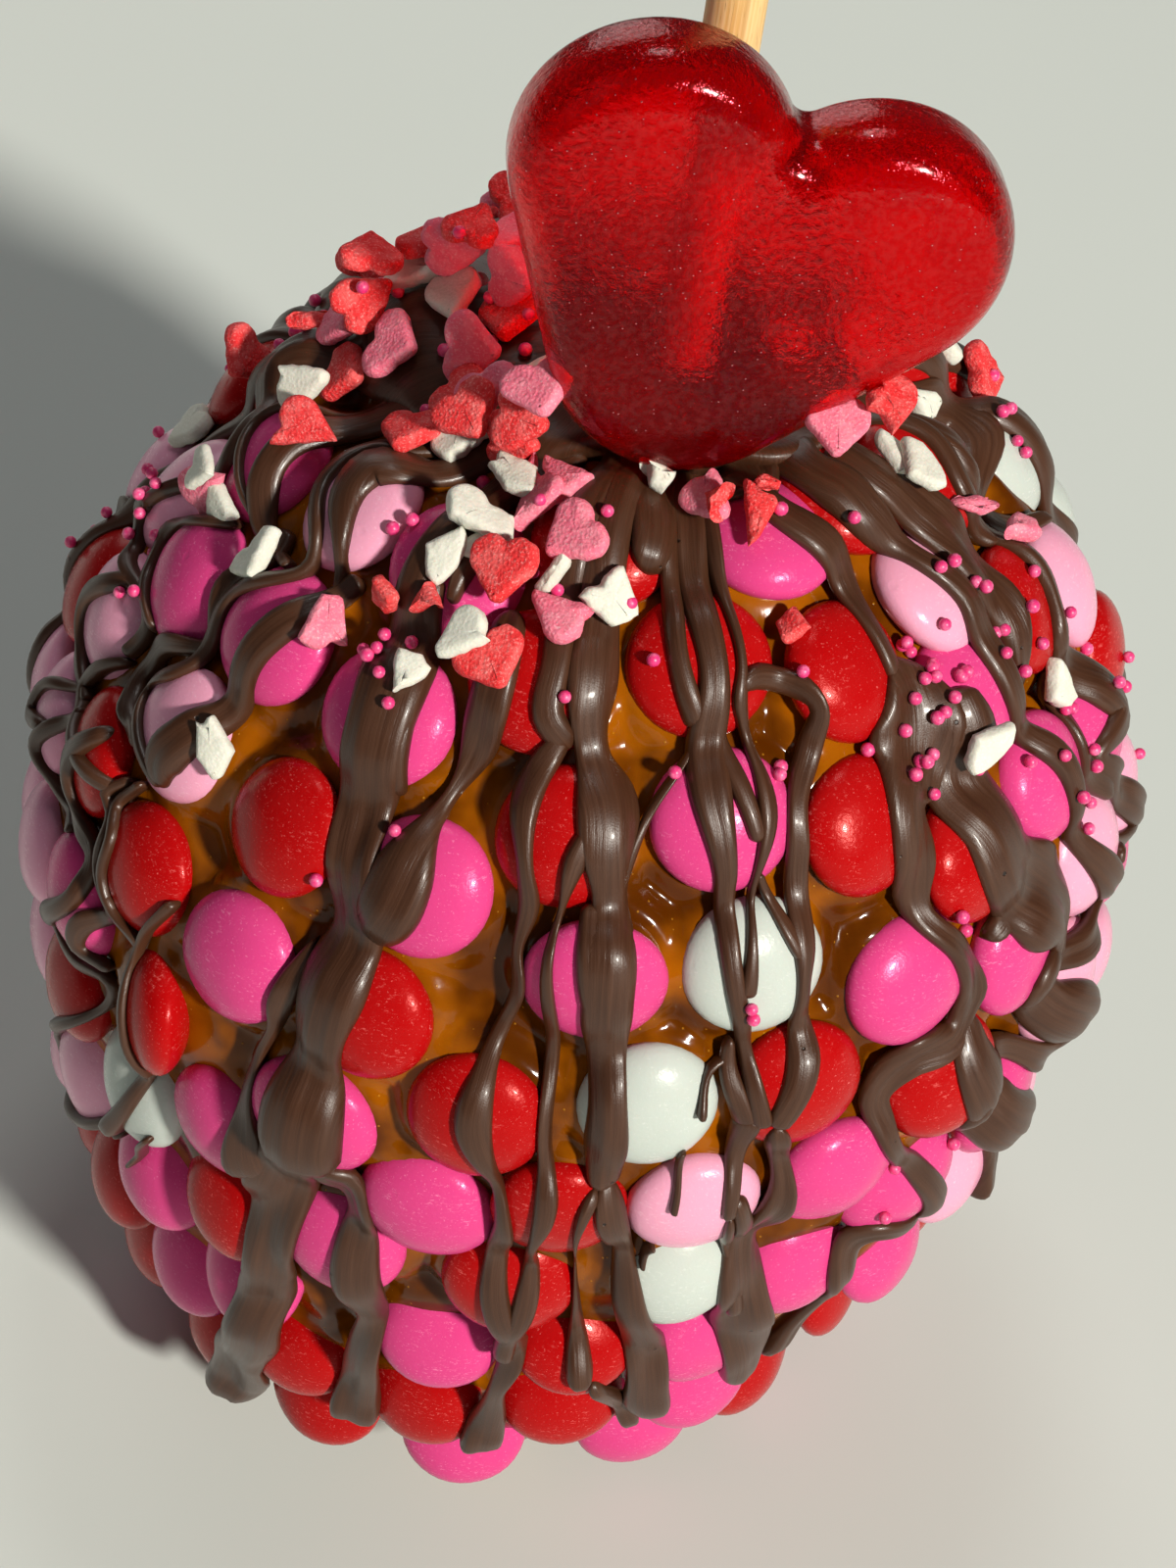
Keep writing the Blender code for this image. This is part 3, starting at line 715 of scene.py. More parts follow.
# Streams of chocolate: longitude, distance down and width along each, and at its last place how it ends if
# it neither just rounds off nor hangs
STREAMS = [
    [(-36, 31, 3.5), (-30, 43, 7), (-25, 58, 5.5), (-22, 64, 6.5), (-22, 69, 7), (-22, 74, 5.5),
     (-21, 84, 7.5), (-20, 90, 7, "blunt")],
    [(-34, 33, 2.5), (-27, 42, 2), (-24, 51, 1.5)],
    [(-20, 32, 3.5), (-17, 38, 4), (-17, 43, 4), (-18, 49, 1.5), (-19, 57, 5.5), (-20, 61, 6),
     (-21, 64, 4.5, "blunt")],
    [(-27, 67, 1.5), (-27, 74, 2.5), (-27, 77, 1.5), (-28, 81, 1.5), (-27, 91, 4), (-25, 96, 7)],
    [(-22, 87, 5.5), (-23, 96, 8), (-23, 104, 5.5), (-25, 123, 6), (-29, 137, 6.5), (-35, 154, 6)],
    [(-20, 89, 3.5), (-17, 91, 5), (-15, 94, 4), (-14, 100, 4), (-13, 107, 4.5), (-12, 113, 3),
     (-12, 123, 4), (-12, 141, 5)],
    [(-13, 26, 3.5), (-10, 35, 3), (-8, 40, 3), (-4, 42, 2.5)],
    [(-8, 25, 4), (-4, 36, 4.5), (-3, 40, 3.5), (-2, 42, 3.5), (1, 46, 5), (2, 50, 5), (3, 54, 3.5),
     (5, 62, 5), (7, 71, 3.5), (9, 84, 4, "blunt")],
    [(2, 55, 2), (3, 59, 2.5), (5, 69, 1.5)],
    [(9, 83, 3), (12, 95, 2.5), (18, 112, 4), (23, 130, 4.5)],
    [(-5, 40, 2), (-8, 46, 3), (-6, 53, 1.5), (-5, 56, 2), (-5, 61, 1.1), (-4, 64, 1.5), (-5, 72, 2),
     (-5, 77, 3), (-2, 84, 1.5), (-1, 87, 1.5), (0, 95, 2.5), (4, 115, 2.5), (4, 123, 2), (5, 140, 5)],
    [(0, 48, 1.5), (-1, 51, 2), (-1, 56, 0.7), (-1, 60, 1), (1, 70, 1.5), (2, 80, 1.5), (3, 86, 2),
     (3, 91, 0.9), (4, 100, 2), (4, 115, 2)],
    [(8, 84, 2), (7, 87, 1.1), (10, 105, 0.9), (12, 116, 3)],
    [(13, 116, 1.5), (23, 134, 2)],
    [(5, 24, 2), (8, 32, 2), (12, 39, 2)],
    [(10, 23, 3.5), (14, 36, 3), (14, 40, 4), (16, 52, 2), (17, 57, 2), (20, 68, 1.5), (23, 77, 2)],
    [(15, 25, 1.5), (18, 34, 1.1), (18, 37, 1.5), (19, 39, 1.1), (21, 47, 2), (20, 52, 0.9), (19, 63, 1.5)],
    [(15, 39, 2), (20, 49, 1.5)],
    [(18, 36, 1), (20, 35, 2), (27, 36, 2), (29, 38, 1.5), (28, 41, 2.5), (25, 46, 2), (25, 51, 2.5),
     (25, 59, 2.5), (25, 62, 1.5), (26, 70, 3), (24, 77, 2)],
    [(20, 52, 0.9), (25, 60, 1.5)],
    [(11, 41, 0.7), (7, 46, 0.9), (5, 54, 0.7)],
    [(19, 68, 1), (19, 71, 2), (21, 77, 2)],
    [(19, 70, 0.7), (17, 71, 0.8), (16, 75, 0.7, "drop")],
    [(21, 76, 2.5), (21, 87, 1.5)],
    [(24, 77, 2.5), (26, 85, 2.5), (26, 93, 4.5), (26, 100, 5), (29, 110, 5.5), (36, 129, 4)],
    [(21, 85, 1.5), (25, 94, 2.5)],
    [(21, 87, 0.9), (27, 108, 2)],
    [(15, 79, 0.7), (15, 86, 0.7)],
    [(15, 93, 0.7), (15, 98, 0.7)],
    [(29, 19, 3), (41, 26, 4), (43, 33, 2), (44, 38, 2)],
    [(44, 36, 2), (45, 40, 8), (45, 43, 12), (44, 46, 10.5), (41, 49, 5.5), (40, 53, 5.5), (40, 59, 3),
     (45, 65, 3), (47, 72, 3.5), (46, 74, 3.5), (40, 75, 5), (36, 79, 3.5), (37, 82, 2.5), (44, 91, 2.5),
     (48, 98, 3), (49, 103, 3), (41, 100, 3.5), (40, 104, 4.5), (41, 110, 4), (38, 126, 3)],
    [(51, 41, 5), (51, 45, 7), (49, 50, 8), (51, 54, 7.5), (53, 59, 8), (58, 65, 10), (62, 71, 6),
     (62, 74, 5), (58, 75, 5.5), (60, 79, 5.5), (66, 86, 6), (64, 88, 4.5), (56, 83, 3), (50, 81, 3.5),
     (50, 83, 7), (55, 90, 6), (64, 103, 4.5), (63, 107, 2.5), (62, 111, 1.5)],
    [(47, 73, 3), (47, 77, 5), (49, 82, 5.5), (52, 87, 4.5)],
    [(52, 59, 3.5), (51, 65, 2.5), (49, 66, 1.5)],
    [(58, 17, 4), (66, 27, 6), (69, 33, 6.5), (69, 38, 5), (67, 44, 2.5), (66, 47, 2.5)],
    [(47, 18, 4), (50, 21, 5), (51, 24, 4.5), (56, 29, 2.5), (62, 35, 3.5), (62, 38, 4), (62, 47, 3),
     (66, 54, 3), (66, 61, 2), (72, 72, 3.5), (74, 76, 3.5), (71, 77, 3.5), (61, 75, 3.5)],
    [(83, 33, 3), (82, 40, 3.5), (78, 44, 2.5), (77, 46, 3.5), (79, 50, 5), (82, 55, 5.5), (83, 59, 4),
     (76, 60, 2), (78, 63, 3), (83, 71, 3.5), (87, 77, 3), (79, 74, 3), (74, 71, 1.5)],
    [(76, 48, 3), (73, 60, 3), (77, 65, 2.5)],
    [(84, 16, 3), (85, 24, 2.5), (79, 29, 2.5), (81, 36, 3)],
    [(104, 23, 3.5), (110, 32, 4.5), (106, 34, 4.5), (91, 35, 3.5), (93, 39, 3), (99, 44, 1.5)],
    [(88, 23, 2.5), (89, 27, 5.5), (89, 31, 6), (89, 34, 4)],
    [(-63, 26, 2.5), (-68, 29, 2), (-68, 31, 2.5), (-65, 34, 2), (-55, 38, 1.5), (-54, 39, 1.5),
     (-60, 47, 2), (-58, 55, 2), (-61, 60, 1.5), (-58, 62, 1.5), (-51, 64, 1.1)],
    [(-53, 26, 3.5), (-59, 30, 5), (-58, 32, 4), (-51, 36, 1.5), (-46, 40, 0.9)],
    [(-78, 33, 3.5), (-74, 38, 3), (-71, 40, 3), (-67, 42, 2.5), (-63, 42, 1.5), (-56, 41, 1)],
    [(-81, 32, 1), (-86, 36, 1.1), (-86, 39, 1.1), (-75, 42, 0.8), (-63, 42, 1.1)],
    [(-65, 40, 3), (-62, 43, 4), (-62, 46, 3.5), (-58, 52, 1.5)],
    [(-46, 37, 2), (-49, 47, 3.5), (-49, 54, 3), (-51, 58, 4), (-52, 62, 4), (-51, 64, 1.5)],
    [(-97, 39, 4.5), (-87, 41, 4.5), (-82, 44, 3.5), (-83, 48, 2), (-84, 55, 1.5), (-82, 57, 1.5),
     (-70, 57, 1.5), (-70, 62, 1.5)],
    [(-71, 44, 1.5), (-78, 53, 1.5), (-76, 55, 1.5), (-68, 57, 1.5)],
    [(-84, 53, 1.5), (-89, 58, 1.5), (-100, 69, 1.5), (-98, 71, 1.1), (-94, 71, 1.1)],
    [(-76, 57, 2), (-80, 65, 2), (-78, 68, 2), (-75, 69, 1.5), (-71, 69, 1.1)],
    [(-58, 52, 1.5), (-66, 59, 2.5), (-66, 62, 2.5), (-64, 63, 2), (-56, 63, 1.5)],
    [(-69, 62, 1.1), (-72, 66, 1.5), (-73, 69, 1.5), (-69, 70, 1.5), (-57, 69, 1.5)],
    [(-73, 69, 0.9), (-78, 74, 1.5), (-78, 77, 1.5), (-73, 75, 1.5)],
    [(-69, 69, 1.5), (-72, 74, 1.5), (-73, 78, 1.5), (-70, 80, 1.5), (-61, 78, 1.5)],
    [(-61, 65, 1.5), (-64, 74, 3), (-62, 76, 2.5), (-56, 77, 2), (-55, 80, 2), (-60, 90, 2.5),
     (-56, 91, 2.5), (-51, 90, 2), (-51, 92, 1.5), (-57, 101, 1.5), (-66, 117, 1.5), (-65, 120, 1.5),
     (-58, 118, 1.5), (-46, 108, 1.5)],
    [(-56, 67, 1.2), (-57, 70, 1.1), (-55, 71, 1.1), (-54, 76, 1.5), (-50, 78, 1.5), (-53, 83, 2),
     (-53, 86, 1.5), (-50, 87, 1.5)],
    [(-54, 66, 1), (-55, 70, 1.1), (-53, 71, 1.1), (-52, 76, 1.1), (-50, 78, 1.1), (-45, 79, 1.5)],
    [(-43, 72, 1.1), (-45, 81, 1), (-44, 84, 1.5), (-40, 92, 1.1)],
    [(-40, 91, 1.5), (-46, 106, 2)],
    [(-39, 101, 0.7), (-44, 111, 0.7)],
    [(-36, 25, 4.5), (-31, 28, 3), (-28, 34, 1)],
    [(-14, 17, 3), (-7, 28, 2.5, "blunt")],
    [(-1, 17, 3.5), (3, 23, 4), (2, 26, 3, "blunt")],
    [(5, 18, 1), (21, 17, 3.5), (31, 16, 2.5), (37, 16, 1.5)],
    [(45, 14, 2.5), (32, 19, 2)],
]
# How much wider and how much thicker a stream is at its end
ENDINGS = {"hanging": (0.10, 1.1), "drop": (0.32, 0.75), "blunt": (0, 0.35), "round": (0, 0)}
TIP, HANGING_TIP = 0.55, 0.95  # how long a stream's rounded ends are, for its width
STREAM_STEP = 0.85 * MM
LOW_STREAMS = 112 * MM  # below this far down the streams hang clear and hardly swell over the candies
HANGING_ENDS = 100 * MM  # a stream that ends below this ends in a long, full drop
CAP_REACH = 14 * MM  # a stream that starts this near the cap comes out of it
WANDER = 0.35 * MM  # how far a stream strays from its route
STREAM_THICKNESS = 0.78 * MM  # and thicker by this share of the stream's width
WIDTH_SHARE = 0.105


def smooth_curve(reach, places):
    """Many steps along a smooth curve through places, each at its reach along the way."""
    slopes = np.gradient(places, reach, axis=0)
    fine = np.linspace(0, reach[-1], 60 * len(places))
    part = np.clip(np.searchsorted(reach, fine, "right") - 1, 0, len(reach) - 2)
    span = (reach[part + 1] - reach[part])[:, None]
    share = (fine - reach[part])[:, None] / span
    return (
        (2 * share**3 - 3 * share**2 + 1) * places[part]
        + (share**3 - 2 * share**2 + share) * span * slopes[part]
        + (3 * share**2 - 2 * share**3) * places[part + 1]
        + (share**3 - share**2) * span * slopes[part + 1]
    )


class Stream:
    """A stream of chocolate that has run down over the candies and set."""

    def __init__(self, route, seed):
        self.ending = route[-1][3] if len(route[-1]) > 3 else "round"
        self.random = np.random.default_rng(seed)
        self.follow(np.array([place[:3] for place in route], float))
        self.spread()

    def follow(self, route):
        """Even steps along a smooth curve through the route, from under the cap if it starts near."""
        places = route * (math.pi / 180, MM, MM)
        rim = float(cap_rim(places[0, 0]))
        if rim < places[0, 1] < rim + CAP_REACH:
            source = (places[0, 0], rim - 3 * MM, 1.5 * places[0, 2])
            places = np.concatenate([[source], places])
        reach = length_along(on_caramel(places[:, 0], places[:, 1]))
        curve = smooth_curve(reach, places)
        length = length_along(on_caramel(curve[:, 0], curve[:, 1], drape.at(curve[:, 0], curve[:, 1])))
        self.length = length[-1]
        rounding = 1 - np.cos(np.linspace(0, math.pi / 2, 7))
        if places[-1, 1] > HANGING_ENDS:
            self.ending = "hanging"
        self.tip = (HANGING_TIP if self.ending == "hanging" else TIP) * places[-1, 2]
        steps = np.arange(self.tip, self.length - self.tip, STREAM_STEP)
        last = self.length - self.tip * rounding[::-1][1:]
        self.along = np.concatenate([rounding[:-1] * self.tip, steps, last])
        self.longitude, self.down, self.width = (np.interp(self.along, length, curve[:, i]) for i in range(3))
        wander = unevenness(np.outer(self.along, [1, 0, 0]), 17 * MM, self.random.integers(1000))
        self.longitude = self.longitude + WANDER * wander / radius_at(self.down)

    def spread(self):
        """How wide and thick the stream is, step by step: fuller over the candies and at its end."""
        fullness = (drape.at(self.longitude, self.down) - level.at(self.longitude, self.down)) / (1.5 * MM)
        fullness = np.where(self.down < LOW_STREAMS, fullness, 0.3 * fullness)
        swell = unevenness(np.outer(self.along, [1, 0, 0]), 11 * MM, self.random.integers(1000))
        self.width = self.width * (1 + 0.14 * np.tanh(fullness) + 0.07 * swell)
        self.thickness = STREAM_THICKNESS + WIDTH_SHARE * self.width
        from_end = self.length - self.along
        fill = np.exp(-(((from_end - self.tip) / (0.9 * self.tip + MM)) ** 2))
        wider, thicker = ENDINGS[self.ending]
        self.width = self.width * (1 + wider * fill)
        self.thickness = self.thickness * (1 + thicker * fill)
        for distance in (self.along, from_end):
            short = 1 - np.clip(distance / self.tip, 0.004, 1)
            self.width = self.width * np.sqrt(1 - short**2)
            self.thickness = self.thickness * (1 - short**2) ** 0.4

    def strands(self, offset):
        """Fine ridges that run along the stream."""
        ridges = 0
        for wavelength, height in ((1.1, 0.02), (2.0, 0.05), (3.4, 0.11)):
            start, drift = self.random.uniform(0, FULL_TURN, 2)
            sway = np.sin(self.along / (23 * MM) + drift)[:, None]
            ridges = ridges + height * MM * np.cos(offset * FULL_TURN / (wavelength * MM) + start + 2 * sway)
        return ridges

    def body(self):
        """The closed mesh, and where each point lies across and along the stream."""
        over = int(np.clip(self.width.max() / (0.55 * MM) + 6, 9, 26))
        turn = np.linspace(0, math.pi, over)
        side = np.concatenate([-np.cos(turn), [0.8, 0.3, -0.3, -0.8]])
        rise = np.concatenate([(1 - np.abs(np.cos(turn)) ** 3.4) ** 0.5, [0, 0, 0, 0]])
        under = np.concatenate([np.zeros(over), [0.5, 0.7, 0.7, 0.5]]) * MM
        ahead = np.gradient(on_caramel(self.longitude, self.down), axis=0)
        out, across = way_out(self.longitude, self.down), way_across(self.longitude)
        sideways = unit(np.cross(out, ahead))
        offset = self.width[:, None] / 2 * side[None]
        level_share = (sideways * across).sum(1)[:, None]
        down_share = -(sideways * np.cross(out, across)).sum(1)[:, None]
        reach = radius_at(self.down) + drape.at(self.longitude, self.down)
        longitude = self.longitude[:, None] + offset * level_share / reach[:, None]
        down = self.down[:, None] + offset * down_share
        height = drape.at(longitude, down) + self.thickness[:, None] * rise[None] - under[None]
        height += self.strands(offset) * rise[None] ** 2 * np.clip(self.width[:, None] / (4 * MM), 0.2, 1)
        points, faces = closed_tube(on_caramel(longitude, down, height))
        start = self.random.uniform(0, 1)
        across_note = np.append(offset, [0, 0]) + start
        along_note = np.append(np.repeat(self.along, len(side)), [0, self.length])
        return points, faces, across_note, along_note


# The streams behind: the longitudes near which they start, and between what their sizes lie
BACK_STARTS = np.arange(118, 268, 9.5)
BACK_TOPS, BACK_WIDTHS, BACK_ENDS = (24, 31), (2.2, 6.5), (85, 150)


def round_the_back():
    """Streams for the sides and the back, run like those in front."""
    random = np.random.default_rng(29)
    streams = []
    for start in BACK_STARTS:
        longitude, down = start + random.uniform(-3, 3), random.uniform(*BACK_TOPS)
        width, end = random.uniform(*BACK_WIDTHS), random.uniform(*BACK_ENDS)
        route = []
        while down < end:
            route.append((longitude, down, width * random.uniform(0.75, 1.25)))
            longitude += random.uniform(-4, 4)
            down += random.uniform(8, 14)
        route[-1] += (str(random.choice(["drop", "round"])),)
        streams.append(route)
    return streams


def add_streams():
    finish = chocolate_finish()
    batches = {"chocolate_streams_front": STREAMS, "chocolate_streams_back": round_the_back()}
    seeds = itertools.count(101)
    for name, streams in batches.items():
        batch = Batch()
        for route in streams:
            points, faces, across, along = Stream(route, next(seeds)).body()
            batch.add(points, faces, across=across, along=along)
        add_batch(name, finish, "dark_chocolate", batch)
    return finish


def cap_rim(longitude):
    """How far down the cap reaches, by a smooth curve through its rim's places."""
    places = np.array(CAP_RIM, float)
    around = np.radians(np.concatenate([places[:, 0] - 360, places[:, 0], places[:, 0] + 360]))
    reach = np.tile(places[:, 1], 3) * MM
    fine = np.linspace(-math.pi, math.pi, 721)
    values = np.interp(fine, around, reach)
    kernel = np.hanning(41)
    values = np.concatenate([values[-21:-1], values, values[1:21]])
    values = np.convolve(values, kernel / kernel.sum(), "valid")
    return np.interp((longitude + math.pi) % FULL_TURN - math.pi, fine, values)


def add_cap(finish):
    """The chocolate over the top: up against the stick, heaped behind the heart, and rounded at its rim."""
    stick_low, stick_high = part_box("stick")
    inner = (stick_high.x - stick_low.x) / 2 - 0.15 * MM
    around = 300
    turn = round_turn(around)
    near_rim = 0.86 + 0.14 * np.sin(np.linspace(0.12, math.pi / 2, 9))
    longitude, share = np.meshgrid(turn, np.concatenate([np.linspace(0, 0.86, 40), near_rim]))
    rim = cap_rim(longitude) * (1 + 0.03 * unevenness(way_across(longitude) * WAIST_RADIUS, 22 * MM, 8))
    down = inner + share * (rim - inner)
    base = on_caramel(longitude, down)
    ribs = unevenness(way_across(longitude) * 30 * MM, 11 * MM, 15)
    lumps = unevenness(base, 9 * MM, 16) + 0.5 * unevenness(base, 4 * MM, 17)
    edge = (1 - np.clip((share - 0.8) / 0.2, 0, 1) ** 2.6) ** 0.5
    heap = np.exp(-(((base[..., 0] - LEAN * base[..., 2] - HEAP_PLACE[0]) ** 2
                     + (base[..., 1] - HEAP_PLACE[1]) ** 2) / HEAP_WIDTH**2))
    climb = 1.6 * MM * np.exp(-(down - inner) / (1.6 * MM))
    beside, before = (base[..., 0] - HEART_PLACE.x) / NEST_WIDTH, (base[..., 1] - HEART_PLACE.y) / NEST_DEPTH
    climb = climb + NEST_RISE * np.exp(-((beside**2 + before**2) ** 2))
    soft = drape.softened(1.5 * MM).at(longitude, down) * (1 - heap) + level.at(longitude, down) * heap
    above = soft + edge * (CAP_THICKNESS + 0.35 * MM * ribs * share + 0.3 * MM * lumps)
    above = above + HEAP_RISE * heap + climb
    under_share = np.array([0.97, 0.6, 0.0])[:, None]
    under_down = inner + under_share * (rim[:3] - inner)
    under_turn = np.broadcast_to(turn, under_down.shape)
    under = drape.at(under_turn, under_down) - np.array([0.6, 1.2, 1.2])[:, None] * MM
    rings = np.concatenate([on_caramel(longitude, down, above), on_caramel(under_turn, under_down, under)])
    rings = np.concatenate([rings, rings[:1]])
    points = rings[:-1].reshape(-1, 3)
    faces = np.array(ring_faces(len(rings), around)) % len(points)
    notes = {
        "across": np.concatenate([longitude, under_turn]).ravel() * 25 * MM,
        "along": np.concatenate([down, under_down]).ravel(),
    }
    name, slot = "poured_chocolate_cap", "dark_chocolate"
    add_piece(name, finish, slot, points, faces.tolist(), ["chocolate_cap"], notes)


# ---- hearts ----


def arc(centre, radius, start, end, steps):
    angle = np.linspace(start, end, steps)
    return np.stack([centre[0] + radius * np.cos(angle), centre[1] + radius * np.sin(angle)], -1)


class HeartShape:
    """A heart of arcs: two lobes, a rounded tip and a rounded cleft, joined by straight flanks."""

    def __init__(self, lobe, spread, tip, drop, cleft):
        self.lobe, self.spread, self.tip, self.drop, self.cleft = lobe, spread, tip, drop, cleft

    def outline(self, inset, fineness):
        """The outline about the tip's centre, drawn in by an inset."""
        lobe, tip, cleft = self.lobe - inset, self.tip - inset, self.cleft + inset
        slant = math.acos((self.tip - self.lobe) / math.hypot(self.spread, self.drop))
        flank = math.atan2(self.drop, self.spread) - slant
        turn = math.acos(self.spread / (self.lobe + self.cleft))
        cleft_centre = (0, self.drop + self.spread * math.tan(turn))
        lobe_centre = (self.spread, self.drop)
        start, end = arc((0, 0), tip, flank, flank, 1)[0], arc(lobe_centre, lobe, flank, flank, 1)[0]
        right = np.concatenate([
            arc((0, 0), tip, -math.pi / 2, flank, 1 + fineness),
            start + (end - start) * np.linspace(0, 1, 1 + fineness)[1:-1, None],
            arc(lobe_centre, lobe, flank, math.pi - turn, 3 * fineness),
            arc(cleft_centre, cleft, -turn, -math.pi / 2, 1 + fineness // 2)[1:],
        ])
        return np.concatenate([right, right[-2:0:-1] * (-1, 1)])


# ---- the jelly heart ----

JELLY_HEART = HeartShape(lobe=12.9 * MM, spread=10.6 * MM, tip=13.0 * MM, drop=15.3 * MM, cleft=1.8 * MM)
HEART_FINENESS = 20
HEART_THICKNESS = 9.5 * MM
HEART_PLACE = Vector((8.2, -14.0, 146.6)) * MM
HEART_YAW = math.radians(10)
HEART_LEAN_BACK = math.radians(5)
HEART_SPIN = math.radians(18)
BACK_SHOULDER = 1.5 * MM
FRONT_FULLNESS = 2.3  # 2 is an ellipse, more is a fuller shoulder
FRONT_START = 1.0 * MM  # the depth, behind the heart's middle, where its front begins to round over
FRONT_DEPTH = 5.3 * MM
FRONT_SHOULDER = 5.2 * MM
FRONT_TURN = math.radians(68)  # how far the shoulder turns before the domed face begins, at a soft edge
INSET_END = 9 * MM


def add_jelly_heart():
    """Flat behind, and in front rounded over from the rim to the soft edge of a slightly domed face."""
    quarter = np.linspace(0, math.pi / 2, 6)
    sections = [(INSET_END, HEART_THICKNESS / 2), (BACK_SHOULDER * 1.6, HEART_THICKNESS / 2)]
    sections += [
        (BACK_SHOULDER * (1 - math.sin(a)), HEART_THICKNESS / 2 - BACK_SHOULDER * (1 - math.cos(a)))
        for a in quarter
    ]
    for turn in np.linspace(0, FRONT_TURN, 16):
        inset = FRONT_SHOULDER * (1 - math.cos(turn) ** (2 / FRONT_FULLNESS))
        sections.append((inset, FRONT_START - FRONT_DEPTH * math.sin(turn)))
    edge_inset, edge_depth = sections[-1]
    for share in np.linspace(0, 1, 9)[1:]:
        doming = (HEART_THICKNESS / 2 + edge_depth) * (1 - (1 - share) ** 2)
        sections.append((edge_inset + share * (INSET_END - edge_inset), edge_depth - doming))
    rings = np.stack([
        np.insert(JELLY_HEART.outline(inset, HEART_FINENESS), 1, depth, axis=1) for inset, depth in sections
    ])
    place = (
        Matrix.Translation(HEART_PLACE)
        @ Matrix.Rotation(HEART_YAW, 4, "Z")
        @ Matrix.Rotation(-HEART_LEAN_BACK, 4, "X")
        @ Matrix.Rotation(HEART_SPIN, 4, "Y")
    )
    points = rings.reshape(-1, 3)
    around, last = rings.shape[1], len(points) - rings.shape[1]
    faces = ring_faces(len(rings), around)
    faces += [list(range(around))[::-1], list(range(last, len(points)))]
    points = points @ np.array(place)[:3, :3].T + np.array(place)[:3, 3]
    return add_piece("red_jelly_heart", jelly_finish(), "jelly_red", points, faces, ["jelly_heart"])


# ---- the stick ----


def add_stick():
    low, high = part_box("stick")
    radius = (high.x - low.x) / 2
    centre = np.array([(low.x + high.x) / 2, (low.y + high.y) / 2, 0])
    rounding = 0.6 * MM
    quarter = np.linspace(0, math.pi / 2, 5)
    ends = [(radius - rounding * (1 - math.sin(a)), rounding * (1 - math.cos(a))) for a in quarter]
    levels = [(r, low.z + h) for r, h in ends]
    heights = np.linspace(low.z + rounding, high.z - rounding, 90)[1:-1]
    levels += [(radius, height) for height in heights]
    levels += [(r, high.z - h) for r, h in reversed(ends)]
    rings = np.array([[(r * math.cos(a), r * math.sin(a), h) for a in round_turn(40)] for r, h in levels])
    rings += centre
    wear = unevenness(rings * (1, 1, 0.15), 2.2 * MM, 31) * 0.02 * MM
    rings[..., :2] += (rings - centre)[..., :2] / radius * wear[..., None]
    add_piece("wooden_stick", wood_finish(), "wood", *closed_tube(rings), replaced=["stick"])


# ---- the sprinkles ----

# Each sugar's colour, its paler grain, and the depth of its grain in millimetres
SUGARS = {
    "red": (shade(0.80, 0.030, 0.035), shade(0.97, 0.34, 0.33), 0.16),
    "pink": (shade(0.88, 0.17, 0.27), shade(0.97, 0.52, 0.60), 0.12),
    "white": (shade(0.70, 0.70, 0.61), shade(0.84, 0.85, 0.78), 0.06),
}
SUGAR_HEART = HeartShape(lobe=1.85 * MM, spread=1.45 * MM, tip=0.75 * MM, drop=3.2 * MM, cleft=0.45 * MM)
SUGAR_HALF_THICKNESS = 0.85 * MM
SUGAR_REACH = {"heart": 2.8 * MM, "piece": 2.3 * MM, "chip": 1.7 * MM, "bit": 1.3 * MM}
PEARL_RADIUS = 0.66 * MM

